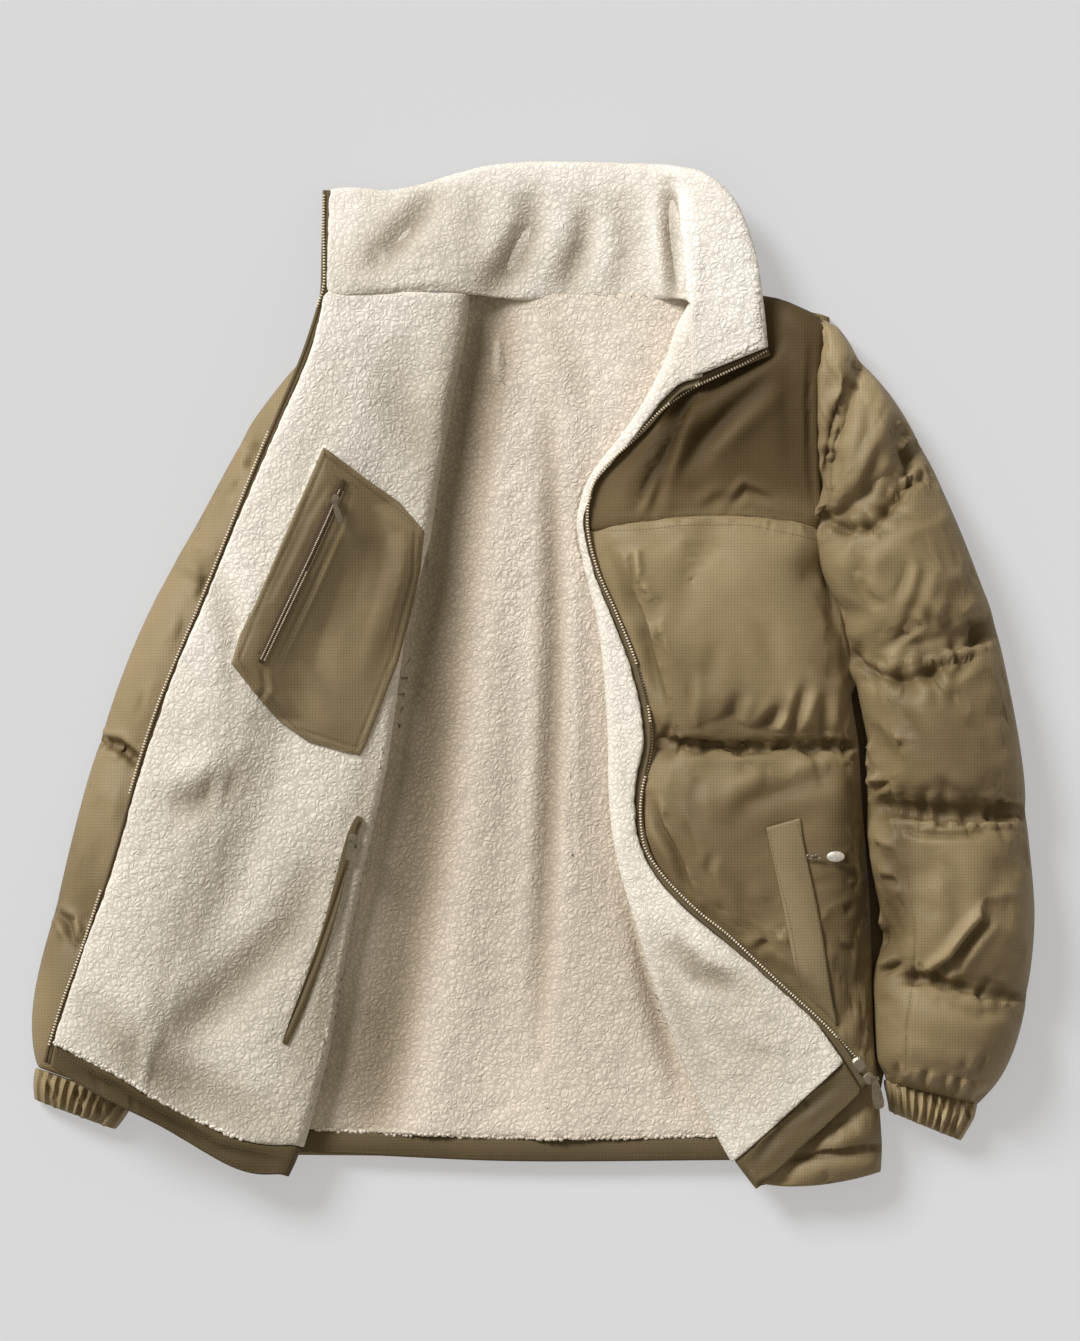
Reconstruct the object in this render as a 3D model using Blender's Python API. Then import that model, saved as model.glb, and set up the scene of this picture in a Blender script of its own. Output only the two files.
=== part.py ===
"""A quilted, fleece-lined jacket that lies open on its back.

World axes: +X is the wearer's left, +Y runs from hem to collar, +Z is up from the surface.
Every size and table below is in millimetres. Layers from the surface up: back shell, back
lining, front lining, front shell, and on top of those what is folded back: shell, then lining.
"""
import math
from collections import namedtuple

import bmesh
import bpy
from mathutils import Matrix, Vector
from mathutils.bvhtree import BVHTree

MM = 0.001
SEAM = 0.4          # clear space left between two pieces that are sewn together
TOUCH = 0.3         # clear space between layers that lie on each other

BACK_TOP = 12.0     # top of the padded back shell, whose underside rests flat
BACK_FLEECE = 6.0
FRONT_FLOOR = 25.4  # underside of the front shells, above their own fleece
SIDE_SEAM = 12.4    # where a front shell comes down to the back shell
ARMPIT_Y = 95.0
SHOULDER_START = 168.0      # from here to the armhole the shoulder seam shows
SLIT = 0.4          # half the space left inside a fold
TURN_STEPS = 4      # facets round a fold
SHELL_WRAP = (5.0, 12.0)    # how near the side seam a front shell comes down to the back

YOKE_LEVEL, QUILT_LEVEL, CHANNEL_LEVEL, HEM_LEVEL = 132.0, -57.0, -394.0, -418.0
GROOVE = 12.0       # padding left under a quilt line
PUFF_REACH = 34.0   # how far from a quilt line the padding is full again

TAPE_WIDTH = 7.3    # zip tape that shows beyond the fleece, with its teeth
TAPE = 1.6
TEETH = 3.0

Row = namedtuple("Row", "fold_x fold_y zip_x zip_y mid_x mid_y side_x side_y bow")
Bow = namedtuple("Bow", "share fleece hem")
BOWS = [             # how far a row hangs below straight: bow 1 is fleece, bow 2 is hem
    Bow(0, 0, 0), Bow(.08, 8, 9), Bow(.2, 14.5, 15), Bow(.3, 15, 12), Bow(.43, 13.5, 9),
    Bow(.54, 12, 6), Bow(.64, 7, 6.5), Bow(.71, 4, 7.5), Bow(.8, 2, 6.5), Bow(1, 0, 0)]

LEFT_ROWS = [       # the front on the wearer's left, shell up, edge rolled back
    Row(123, 308, 134, 237, 180, 315, 237, 295, 0),
    Row(107, 255, 118, 229, 175, 267, 237, 263, 0),
    Row(78, 204, 93, 199, 167, 218, 233, 226, 0),
    Row(48, 167, 58, 169, 155, 179, 232, 185, 0),
    Row(37, 132, 46, 132, 150, 144, 233, 134, 0),
    Row(37, 118, 48, 120, 155, YOKE_LEVEL, 236, 119, 0),
    Row(43, 87, 55, 85, 155, 95, 239, 87, 0),
    Row(55, 38, 77, 38, 167, 38, 256.4, 36, 0),
    Row(60, -20, 95, -20, 183, -20, 263, -20, 0),
    Row(62, -57, 98, -57, 187, QUILT_LEVEL, 269, -57, 0),
    Row(62, -93, 91, -98, 183, -98, 271, -98, 0),
    Row(67, -143, 96, -144, 187, -143, 275, -143, 0),
    Row(82, -196, 124, -181, 196, -188, 278, -184, 0),
    Row(103, -266, 167, -216, 212, -253, 280, -253, 0),
    Row(130, -335, 216, -260, 228, -319, 282, -307, 0),
    Row(148, -372, 241, -284, 230, -364, 286, -356, 0),
    Row(163, -399, 261, -311, 230, CHANNEL_LEVEL, 288, -386, 0),
    Row(181, -423, 276, -335, 232, HEM_LEVEL, 287, -407, 0),
]
RIGHT_ROWS = [      # the front on the wearer's right, folded back over its sleeve
    Row(-50, 308, -173, 311, -95, 312, -139, 293, 0),
    Row(-52, 284, -182, 282, -95, 283, -139, 276, 0),
    Row(-59, 247, -191, 256, -100, 246, -139, 243, 0),
    Row(-69, 194, -212, 207, -105, 200, -139, 202, 0),
    Row(-77, 144, -235, 151, -110, 150, -139, 153, 0),
    Row(-83, 107, -251, 112, -112, 107, -139, 107, 0),
    Row(-98, 54, -276, 50, -123, 53, -148, 52, 0),
    Row(-106, 9, -296, 4, -133, 9, -159, 9, 0),
    Row(-116, -69, -322, -73, -146, -69, -175, -69, 0),
    Row(-136, -159, -346, -159, -160, -159, -183, -159, 0),
    Row(-150, -223, -370, -225, -168, -223, -187, -223, .1),
    Row(-164, -307, -391, -284, -182, -302, -201, -298, .45),
    Row(-185.5, -387, -395, -298, -200, -372, -215, -360, 1),
    Row(-196, -412, -399, -315, -213, -407, -231, -400, 2),
]
YOKE_ROW = 5                # row of LEFT_ROWS where yoke and body are sewn together
LEFT_FLEECE_END = 16        # row of LEFT_ROWS where its fleece meets the hem facing
RIGHT_FLEECE_END = 12       # row of RIGHT_ROWS where its fleece meets the hem facing
LEFT_STOPS = [(0, .1, .22, .4, .7), (0, .5), (0, .5), (0, .4, .75), (0, .55),
              (0, .25, .6), (0, .5), (0, .5), (0, .45, .8), (0, .25, .6), (0, .5), (0, .5),
              (0, .5), (0, .5), (0, .55), (0, .45, .8), (0, .2, .6)]
RIGHT_STOPS = [(0, .5), (0, .5), (0, .5), (0, .6), (0, .6), (0,), (0, .5), (0, .5), (0, .5),
               (0, .5), (0, .5), (0, .5), (0, .3)]
LEFT_FLAP_SHARES = (0.0, 0.4, 1.0)
RIGHT_FLAP_SHARES = (0, .08, .17, .26, .35, .44, .53, .64, .8, 1.0)

Edge = namedtuple("Edge", "y x")
LEFT_SIDE = [Edge(297, 237), Edge(263, 237), Edge(210, 233), Edge(169, 232), Edge(95, 237),
             Edge(72, 243), Edge(51, 254.5), Edge(30, 257), Edge(-3, 260), Edge(-52, 269),
             Edge(-118, 272.5),
             Edge(-184, 278), Edge(-266, 280), Edge(-307, 282), Edge(-356, 286),
             Edge(-386, 288), Edge(-410, 286)]
ROLLED_EDGE = [Edge(320, 197), Edge(267, 196), Edge(249, 167), Edge(236, 138),
               Edge(206, 101), Edge(184, 77), Edge(171, 60), Edge(144, 48), Edge(116, 48),
               Edge(83, 56), Edge(50, 73), Edge(7, 89), Edge(-52, 99), Edge(-102, 90),
               Edge(-122, 89), Edge(-151, 101), Edge(-178, 122), Edge(-219, 171),
               Edge(-280, 237), Edge(-308, 261), Edge(-335, 276), Edge(-358, 251),
               Edge(-380, 227), Edge(-423, 182)]
RIGHT_SIDE = [Edge(297, -141), Edge(95, -141), Edge(62, -146), Edge(30, -153),
              Edge(-3, -164), Edge(-52, -173), Edge(-118, -180), Edge(-184, -185),
              Edge(-223, -188), Edge(-298, -201), Edge(-360, -215), Edge(-400, -231)]
SLEEVE_UNDER_FLAP = [Edge(308, -144), Edge(210, -141), Edge(128, -140), Edge(95, -149),
                     Edge(40, -185), Edge(-24, -215), Edge(-88, -237), Edge(-156, -256),
                     Edge(-204, -272), Edge(-280, -289), Edge(-321, -297), Edge(-420, -301)]

Layer = namedtuple("Layer", "y fold_shell under lapel_shell fleece")
LEFT_LAYERS = [             # thickness of the rolled-back front from neck to hem
    Layer(320, 3.6, 8.0, 5.0, 5.5), Layer(225, 2.6, 5.0, 3.6, 4.5),
    Layer(180, 1.3, 2.6, 1.8, 3.2), Layer(85, 1.3, 2.6, 1.8, 3.2),
    Layer(30, 2.2, 4.0, 3.0, 4.5), Layer(-60, 2.6, 6.0, 4.0, 5.0),
    Layer(-150, 2.8, 8.0, 5.0, 5.5), Layer(-260, 3.4, 10.0, 7.0, 6.0),
    Layer(-425, 4.0, 9.0, 8.0, 6.0)]
RIGHT_LAYERS = [Layer(320, 4.0, 6.0, 6.5, 6.0), Layer(100, 5.0, 6.0, 8.5, 6.0),
                Layer(-300, 5.0, 6.0, 9.0, 6.0), Layer(-425, 4.0, 6.0, 7.0, 6.0)]
Lift = namedtuple("Lift", "y rise")
FLAP_LIFT = [Lift(320, 4), Lift(290, 9), Lift(250, 15), Lift(200, 19.5), Lift(140, 21),
             Lift(-300, 21), Lift(-345, 15), Lift(-420, 7)]

CollarRow = namedtuple("CollarRow", "seam_x seam_y seam_z top_x top_y top_z")
COLLAR_ROWS = [             # underside of the collar, from its right end to its left end
    CollarRow(-165.4, 314.5, 40, -164.6, 400, 12),
    CollarRow(-141, 316, 40, -145, 402, 9),
    CollarRow(-108, 317, 36, -114, 399, 7),
    CollarRow(-75, 318, 32, -82, 407, 5),
    CollarRow(-42, 316, 22, -50, 417, 4),
    CollarRow(-10, 313, 10, -10, 423, 2.5),
    CollarRow(35, 313.4, 4, 34, 423, 1.5),
    CollarRow(78, 313.4, 4, 79, 422, 2),
    CollarRow(106, 313.4, 10, 112, 420, 12),
    CollarRow(127.5, 312.5, 30, 140, 414, 27),
    CollarRow(134.8, 305, 34, 156, 403, 31),
    CollarRow(135.2, 287, 35, 172, 383, 33),
    CollarRow(135.4, 268, 35.5, 186, 341, 34.5),
    CollarRow(135.6, 256, 35.5, 190.5, 304, 35),
    CollarRow(136.2, 246, 35.5, 194, 269.5, 35),
]
COLLAR_SHELL, COLLAR_FLEECE = 5.0, 6.0

SleeveRow = namedtuple("SleeveRow", "inner_x inner_y outer_x outer_y crown quilt")
LEFT_SLEEVE_ROWS = [        # quilt is 1 where a row is a quilt line
    SleeveRow(237.4, 294, 241, 295, 30, 1),
    SleeveRow(237.4, 263, 252, 287, 46, 0),
    SleeveRow(237.4, 202, 262, 274, 56, 0),
    SleeveRow(237.4, 144, 271, 260, 60, 1),
    SleeveRow(237.4, 131, 296, 230, 68, 0),
    SleeveRow(237.4, 120, 320, 192, 70, 1),
    SleeveRow(241, 98, 339, 153, 74, 0),
    SleeveRow(249, 75, 355, 116, 76, 0),
    SleeveRow(261, 51, 372, 72, 76, 0),
    SleeveRow(263, 16, 383, 42, 76, 1),
    SleeveRow(266, -11, 392, -3, 76, 0),
    SleeveRow(275, -50, 401, -52, 76, 0),
    SleeveRow(279, -77, 406, -88, 76, 0),
    SleeveRow(277, -106, 408, -111, 76, 1),
    SleeveRow(279, -143, 410, -143, 74, 0),
    SleeveRow(287, -184, 414, -188, 74, 0),
    SleeveRow(292, -215, 413, -221, 73, 0),
    SleeveRow(283, -243, 409, -262, 72, 1),
    SleeveRow(285, -272, 402, -290, 70, 0),
    SleeveRow(286, -307, 390, -325, 66, 0),
    SleeveRow(290, -334, 368, -353, 40, 1),
]
RIGHT_SLEEVE_ROWS = [
    SleeveRow(-141.4, 294, -145, 295, 22, 1),
    SleeveRow(-141.4, 263, -156, 289, 30, 0),
    SleeveRow(-141.4, 200, -190, 261, 40, 1),
    SleeveRow(-141.4, 150, -223, 219, 48, 0),
    SleeveRow(-141.4, 120, -240, 194, 50, 1),
    SleeveRow(-146.4, 98, -277, 121, 51, 0),
    SleeveRow(-185, 40, -299, 87, 51, 1),
    SleeveRow(-215, -24, -329, 23, 51, 0),
    SleeveRow(-242, -98, -356, -51, 51, 1),
    SleeveRow(-259, -160, -373, -113, 51, 0),
    SleeveRow(-279, -237, -393, -190, 51, 1),
    SleeveRow(-294, -294, -408, -247, 50, 0),
    SleeveRow(-303, -328, -414, -290, 44, 0),
    SleeveRow(-325, -350, -408, -321, 30, 1),
]
PAD_KEPT = 0.74             # share of a sleeve's height left at its quilt lines
SIDE_LEVEL = 0.3            # height of a sleeve's side edges, as a share of its crown
FLAT_POINTS = 5             # points across a sleeve's flat underside

CuffRow = namedtuple("CuffRow", "inner_x inner_y outer_x outer_y height")
LEFT_CUFF_ROWS = [CuffRow(290, -334.8, 368.3, -353.8, 28), CuffRow(290, -343, 364, -364, 36),
                  CuffRow(292, -351, 359, -373, 34), CuffRow(294, -358, 353, -382, 24)]
RIGHT_CUFF_ROWS = [CuffRow(-408.3, -321.8, -325.4, -350.8, 24),
                   CuffRow(-410, -331, -331, -358, 30),
                   CuffRow(-410, -340, -336, -366, 28),
                   CuffRow(-409, -348, -342, -373, 20)]
CUFF_PLEATS = 11

PatchRow = namedtuple("PatchRow", "left_x left_y right_x right_y")
CHEST_POCKET = [            # patch on the fleece of the folded-back front, top to bottom
    PatchRow(-170, 186.5, -166, 184.5), PatchRow(-188, 145, -128, 155.5),
    PatchRow(-201, 115, -90, 125.5), PatchRow(-216, 80, -91.5, 83),
    PatchRow(-231, 46, -101, 45), PatchRow(-245.5, 13, -109, 13),
    PatchRow(-222, -18, -120, -16), PatchRow(-194, -48, -133, -50),
    PatchRow(-152, -62, -140.5, -65)]
HAND_WELT = [               # welt of the hand pocket, top to bottom
    PatchRow(192, -124, 220, -116), PatchRow(196, -143, 223, -139),
    PatchRow(205, -184, 231, -175), PatchRow(212, -222, 239, -218),
    PatchRow(217, -247, 244.5, -256), PatchRow(223, -258, 250.5, -287)]
Spot = namedtuple("Spot", "x y")
CHEST_ZIP = [Spot(-153, 160), Spot(-176, 110), Spot(-198, 61), Spot(-221, 11)]
LINING_WELT = [Spot(-140.5, -115), Spot(-144, -124), Spot(-149, -136), Spot(-165, -200),
               Spot(-177, -236), Spot(-186, -262), Spot(-202, -301)]
WELT_WIDTH = 8.0

Fold = namedtuple("Fold", "top_x mid_x bottom_x height width")
BACK_FOLDS = [              # the largest soft folds of the fleece inside the back
    Fold(-28, -36, -88, 6.5, 17), Fold(22, 34, 22, 7.0, 19), Fold(84, 78, 62, 4.5, 15)]
BACK_BOTTOM = [Edge(-193, -372), Edge(-108, -376), Edge(-26, -380), Edge(56, -380),
               Edge(138, -379), Edge(262, -378)]    # here y holds x and x holds y
HEM_DROP = 19.0             # height of the back hem facing


# ---- small helpers ----------------------------------------------------------------------

def clamp(value, low=0.0, high=1.0):
    return max(low, min(high, value))


def smooth(value):
    t = clamp(value)
    return t * t * (3 - 2 * t)


def puff(distance, reach=PUFF_REACH):
    """How full padding is at this distance from the seam that holds it down."""
    d = clamp(distance / reach)
    return math.sqrt(1 - (1 - d) ** 2)


def look_up(table, at, column=1):
    """One column of a table against its first column, straight between rows."""
    rows = sorted(table)
    if at <= rows[0][0]:
        return rows[0][column]
    for low, high in zip(rows, rows[1:]):
        if at <= high[0]:
            share = (at - low[0]) / (high[0] - low[0])
            return low[column] + (high[column] - low[column]) * share
    return rows[-1][column]


def between(rows, place):
    """The row at a place along a table, such as 2.5, on a smooth curve through its rows."""
    i = min(int(place), len(rows) - 2)
    t = place - i
    a, b = rows[max(i - 1, 0)], rows[i]
    c, d = rows[i + 1], rows[min(i + 2, len(rows) - 1)]
    if i == 0:
        a = [2 * q - r for q, r in zip(b, c)]
    if i + 2 > len(rows) - 1:
        d = [2 * r - q for q, r in zip(b, c)]
    values = []
    for p, q, r, s in zip(a, b, c, d):
        values.append(0.5 * (2 * q + (r - p) * t + (2 * p - 5 * q + 4 * r - s) * t * t
                             + (3 * q - p - 3 * r + s) * t ** 3))
    return type(rows[0])(*values)


def stations(stops):
    """Places along a table: stops lists, for each gap between rows, the shares to stop at."""
    places = []
    for i, shares in enumerate(stops):
        places += [i + share for share in shares]
    return places + [float(len(stops))]


def cumulated(points):
    lengths = [0.0]
    for a, b in zip(points, points[1:]):
        lengths.append(lengths[-1] + math.dist(a, b))
    return lengths


def at_length(points, lengths, wanted):
    wanted = clamp(wanted, 0.0, lengths[-1])
    for i in range(1, len(points)):
        if wanted <= lengths[i] or i == len(points) - 1:
            share = (wanted - lengths[i - 1]) / max(lengths[i] - lengths[i - 1], 1e-9)
            return tuple(p + (q - p) * share for p, q in zip(points[i - 1], points[i]))
    return points[-1]


def finish_object(name, mesh_data, finish):
    mesh = bpy.data.meshes.new(name)
    mesh_data.to_mesh(mesh)
    mesh_data.free()
    mesh.materials.append(finish)
    mesh.shade_smooth()
    mesh.set_sharp_from_angle(angle=math.radians(50))
    made = bpy.data.objects.new(name, mesh)
    bpy.context.collection.objects.link(made)
    return made


def closed_mesh(points, faces):
    shape = bmesh.new()
    verts = [shape.verts.new([c * MM for c in p]) for p in points]
    for face in faces:
        shape.faces.new([verts[i] for i in face])
    bmesh.ops.recalc_face_normals(shape, faces=shape.faces)
    return shape


def wall(name, outer, inner, finish):
    """A closed solid between two grids of points that have the same rows and columns."""
    rows, columns = len(outer), len(outer[0])
    points = [p for row in outer for p in row] + [p for row in inner for p in row]
    back = rows * columns
    faces = []

    def quad(a, b, c, d):
        faces.append((a, b, c))
        faces.append((a, c, d))

    for i in range(rows - 1):
        for j in range(columns - 1):
            a, b = i * columns + j, i * columns + j + 1
            c, d = b + columns, a + columns
            quad(a, b, c, d)
            faces.append((back + a, back + c, back + b))
            faces.append((back + a, back + d, back + c))
        for j in (0, columns - 1):
            a, d = i * columns + j, (i + 1) * columns + j
            quad(a, d, back + d, back + a)
    for i in (0, rows - 1):
        for j in range(columns - 1):
            a, b = i * columns + j, i * columns + j + 1
            quad(a, b, back + b, back + a)
    return finish_object(name, closed_mesh(points, faces), finish)


def loft(name, rings, finish):
    """A closed solid through rings of equally many points, with a point at each end."""
    count = len(rings[0])
    points = [p for ring in rings for p in ring]
    faces = []
    for i in range(len(rings) - 1):
        for j in range(count):
            a, b = i * count + j, i * count + (j + 1) % count
            faces.append((a, b, b + count))
            faces.append((a, b + count, a + count))
    for ring, first in ((rings[0], 0), (rings[-1], (len(rings) - 1) * count)):
        points.append(tuple(sum(axis) / count for axis in zip(*ring)))
        tip = len(points) - 1
        for j in range(count):
            faces.append((tip, first + j, first + (j + 1) % count))
    return finish_object(name, closed_mesh(points, faces), finish)


def material(name, colour, roughness, metallic=0.0):
    made = bpy.data.materials.new(name)
    made.use_nodes = True
    shader = made.node_tree.nodes["Principled BSDF"]
    shader.inputs["Base Color"].default_value = (*colour, 1)
    shader.inputs["Roughness"].default_value = roughness
    shader.inputs["Metallic"].default_value = metallic
    return made


# ---- a front that turns back on itself ----------------------------------------------------

class Front:
    """Plan and heights of one front: its base under the fold, and what is folded back."""

    def __init__(self, rows, side, layers, toward_side):
        self.rows, self.side, self.layers = rows, side, layers
        self.toward_side = toward_side      # +1 where the side seam is at +X of the fold
        self.fold = sorted({(r.fold_y, r.fold_x) for r in rows})

    def layer(self, y, name):
        return look_up(self.layers, y, Layer._fields.index(name))

    def from_fold(self, x, y):
        """0 at the fold itself, 1 well inside, where the layers have their full thickness."""
        reach = self.toward_side * (x - look_up(self.fold, y))
        return smooth((reach - 1.6 * self.turn_radius(y)) / 40)

    def turn_radius(self, y):
        return SLIT + self.layer(y, "fold_shell") + TOUCH + self.layer(y, "fleece")

    def covered_shell(self, x, y):
        """Thickness of the base shell where the folded part lies on it."""
        thin = self.layer(y, "fold_shell")
        return thin + (self.layer(y, "under") - thin) * self.from_fold(x, y)

    def to_side(self, x, y):
        return self.toward_side * (look_up(self.side, y) - x)

    def floor(self, x, y):
        """Underside of the shell: it comes down to the back shell at the side seam."""
        near, far = SHELL_WRAP
        down = 1 - smooth((self.to_side(x, y) - near) / (far - near))
        down *= smooth((ARMPIT_Y - y) / 30)
        return FRONT_FLOOR - (FRONT_FLOOR - SIDE_SEAM) * down

    def base_top(self, x, y, level):
        return self.floor(x, y) + self.covered_shell(x, y)

    def lift(self, x, y):
        return 0.0

    def flap_floor(self, x, y):
        """Underside of what is folded back."""
        loose = 0.5 * self.from_fold(x, y)
        return FRONT_FLOOR + self.covered_shell(x, y) + 2 * SLIT + loose + self.lift(x, y)

    def flap_shell(self, x, y):
        thin = self.layer(y, "fold_shell")
        return thin + (self.layer(y, "lapel_shell") - thin) * self.from_fold(x, y)

    def flap_top(self, x, y):
        fleece = self.layer(y, "fleece")
        return self.flap_floor(x, y) + self.flap_shell(x, y) + TOUCH + fleece

    def turn(self, place):
        """Centre of the fold, and the level direction from it to the side, at one row."""
        row = between(self.rows, place)
        a = between(self.rows, max(place - 0.05, 0))
        b = between(self.rows, min(place + 0.05, len(self.rows) - 1))
        run_x, run_y = b.fold_x - a.fold_x, b.fold_y - a.fold_y
        length = math.hypot(run_x, run_y)
        normal = (-run_y / length, run_x / length)
        if normal[0] * self.toward_side < 0:
            normal = (-normal[0], -normal[1])
        radius = self.turn_radius(row.fold_y)
        centre = (row.fold_x + normal[0] * radius, row.fold_y + normal[1] * radius)
        return row, centre, normal

    def base_path(self, row, centre):
        """Plan of the base from the fold's centre to the side seam."""
        points = []
        for k in range(25):
            u = k / 24
            a, b, c = 2 * (u - 0.5) * (u - 1), 4 * u * (1 - u), 2 * u * (u - 0.5)
            points.append((a * centre[0] + b * row.mid_x + c * row.side_x,
                           a * centre[1] + b * row.mid_y + c * row.side_y))
        return points, cumulated(points)

    def flap_point(self, row, centre, share, cut):
        """Plan of the folded part: share 0 at the fold's centre, 1 at the cut near the zip."""
        run = (row.zip_x - centre[0], row.zip_y - centre[1])
        length = math.hypot(*run)
        share *= max(length - cut, 0.12 * length) / length
        bow = clamp(row.bow, 0, 2)
        fleece, hem = look_up(BOWS, share, 1), look_up(BOWS, share, 2)
        sag = min(bow, 1) * fleece + max(bow - 1, 0) * (hem - fleece)
        return centre[0] + run[0] * share, centre[1] + run[1] * share - sag

    def section(self, place, base_columns, flap_shares, below, above, cut=TAPE_WIDTH):
        """Outer and inner points of one layer at one row, from the side seam to the zip.

        below and above say how far the layer reaches from the slit: each is a function of
        x, y and the level of the row, and returns (reach on the base, reach on the flap).
        """
        row, centre, normal = self.turn(place)
        path, lengths = self.base_path(row, centre)
        mid_z = FRONT_FLOOR + self.layer(row.fold_y, "fold_shell") + SLIT
        rims = []
        for reach in (above, below):
            points = []
            for distance in base_columns(path, lengths):
                x, y = at_length(path, lengths, distance)
                points.append((x, y, reach(x, y, row.mid_y)[0]))
            radius = abs(mid_z - reach(*centre, row.mid_y)[0])
            for k in range(1, TURN_STEPS):
                angle = math.pi * k / TURN_STEPS
                out = radius * math.sin(angle)
                points.append((centre[0] - normal[0] * out, centre[1] - normal[1] * out,
                               mid_z - radius * math.cos(angle)))
            for share in flap_shares:
                x, y = self.flap_point(row, centre, share, cut)
                points.append((x, y, reach(x, y, row.mid_y)[1]))
            rims.append(points)
        return rims


class LeftFront(Front):
    """The front that lies shell up: beyond the rolled edge its padding is full."""

    def padding(self, level):
        if level > YOKE_LEVEL:
            return GROOVE - 1 + 8 * puff(level - YOKE_LEVEL)
        if level > QUILT_LEVEL:
            return GROOVE + 13 * puff(YOKE_LEVEL - level) * puff(level - QUILT_LEVEL)
        if level > CHANNEL_LEVEL:
            return GROOVE + 12 * puff(QUILT_LEVEL - level) * puff(level - CHANNEL_LEVEL, 22)
        return 6 + 9 * puff(level - HEM_LEVEL, 10) * puff(CHANNEL_LEVEL - level + 3, 9)

    def floor(self, x, y):
        level = super().floor(x, y)
        shoulder = shoulder_ridge(x) - y
        down = (1 - smooth((shoulder - 3) / 12)) * smooth((x - SHOULDER_START) / 25)
        return min(level, FRONT_FLOOR - (FRONT_FLOOR - SIDE_SEAM) * down)

    def base_top(self, x, y, level):
        covered = self.covered_shell(x, y)
        beyond = smooth((x - look_up(ROLLED_EDGE, y) - 4) / 24)
        full = covered + (max(self.padding(level), covered) - covered) * beyond
        top = FRONT_FLOOR + full
        seam = SIDE_SEAM + 8 if y < ARMPIT_Y else 33.0
        round_off = puff(self.to_side(x, y) + 0.4, 42)
        top = seam + (top - seam) * round_off if top > seam else top
        shoulder = shoulder_ridge(x) - y
        if x > SHOULDER_START and shoulder < 26:
            low = SIDE_SEAM + 9
            share = puff(shoulder + 0.4, 26)
            eased = low + (top - low) * share
            top += (eased - top) * smooth((x - SHOULDER_START) / 25)
        return max(top, self.floor(x, y) + 2.5)


class RightFront(Front):
    """The front that is folded right back: it climbs over the sleeve beneath it."""

    def lift(self, x, y):
        inside = look_up(SLEEVE_UNDER_FLAP, y) + 25 - x
        return look_up(FLAP_LIFT, y) * smooth(inside / 55)


def shoulder_ridge(x):
    """Height of the shoulder seam in plan: it falls away from the neck."""
    return look_up([Edge(109, 311), Edge(180, 314), Edge(192, 314), Edge(237, 296)], x)


def shell_reach(front):
    def outer(x, y, level):
        return front.floor(x, y), front.flap_floor(x, y) + front.flap_shell(x, y)

    def slit(x, y, level):
        return front.base_top(x, y, level), front.flap_floor(x, y)
    return slit, outer


def fleece_reach(front, thickness=None):
    def pile(y):
        return thickness if thickness else front.layer(y, "fleece")

    def outer(x, y, level):
        over = front.flap_floor(x, y) + front.flap_shell(x, y) + TOUCH
        return FRONT_FLOOR - TOUCH - pile(y), over + pile(y)

    def under(x, y, level):
        over = front.flap_floor(x, y) + front.flap_shell(x, y) + TOUCH
        return FRONT_FLOOR - TOUCH, over
    return under, outer


def left_columns(path, lengths):
    """Distances from the fold's centre at which the left front's base has its points."""
    total = lengths[-1]
    edge = total * 0.5
    short = [look_up(ROLLED_EDGE, y) - x for x, y in path]
    for k in range(1, len(path)):
        if short[k] <= 0:
            share = clamp(short[k - 1] / max(short[k - 1] - short[k], 1e-6))
            edge = lengths[k - 1] + (lengths[k] - lengths[k - 1]) * share
            break
    far = [total - d for d in (25, 14, 6, 0)]
    edge = clamp(edge + 4, 2.0, far[0] - 12)
    scale = min(1.0, (far[0] - edge) / 40)
    near = [edge, edge + 9 * scale, edge + 21 * scale]
    middle = [near[-1] + (far[0] - near[-1]) * t for t in (0.35, 0.7)]
    return list(reversed([0.0, edge * 0.55] + near + middle + far))


def right_columns(path, lengths):
    total = lengths[-1]
    scale = min(1.0, total / 30)
    return [total] + [total - d * scale for d in (6, 13, 19)] + [0.0]


def lining_columns(margin):
    """The fleece ends inside the side seam, where the shell comes down round it."""
    def columns(path, lengths):
        total = lengths[-1]
        end = total - min(margin, total * margin / 30)
        for (x, y), length in zip(path, lengths):
            if x > SHOULDER_START - 8 and shoulder_ridge(x) - y < 20:
                end = min(end, length)
        return [end, 0.0]
    return columns


# ---- the pieces -----------------------------------------------------------------------------

def front_piece(name, front, places, columns, shares, reaches, finish):
    below, above = reaches
    sections = [front.section(p, columns, shares, above, below) for p in places]
    wall(name, [s[1] for s in sections], [s[0] for s in sections], finish)


def left_front_pieces(shell, fleece, tape):
    front = LeftFront(LEFT_ROWS, LEFT_SIDE, LEFT_LAYERS, +1)
    places = stations(LEFT_STOPS)
    shares = LEFT_FLAP_SHARES
    yoke = [p for p in places if p < YOKE_ROW] + [YOKE_ROW - 0.5 * SEAM / 14]
    body = [YOKE_ROW + 0.5 * SEAM / 31] + [p for p in places if p > YOKE_ROW]
    front_piece("left_front_yoke", front, yoke, left_columns, shares, shell_reach(front), shell)
    front_piece("left_front_shell", front, body, left_columns, shares, shell_reach(front),
                shell)
    covered = [p for p in places if p <= LEFT_FLEECE_END]
    front_piece("left_front_lining", front, covered, lining_columns(27.0), shares,
                fleece_reach(front), fleece)
    faced = [LEFT_FLEECE_END + 0.02] + [p for p in places if p > LEFT_FLEECE_END]
    front_piece("left_front_hem_facing", front, faced, lining_columns(27.0), shares,
                fleece_reach(front, 3.0), shell)
    front_tape("left_zip_tape", front, places, len(COLLAR_ROWS) - 1, tape)
    return front


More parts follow.
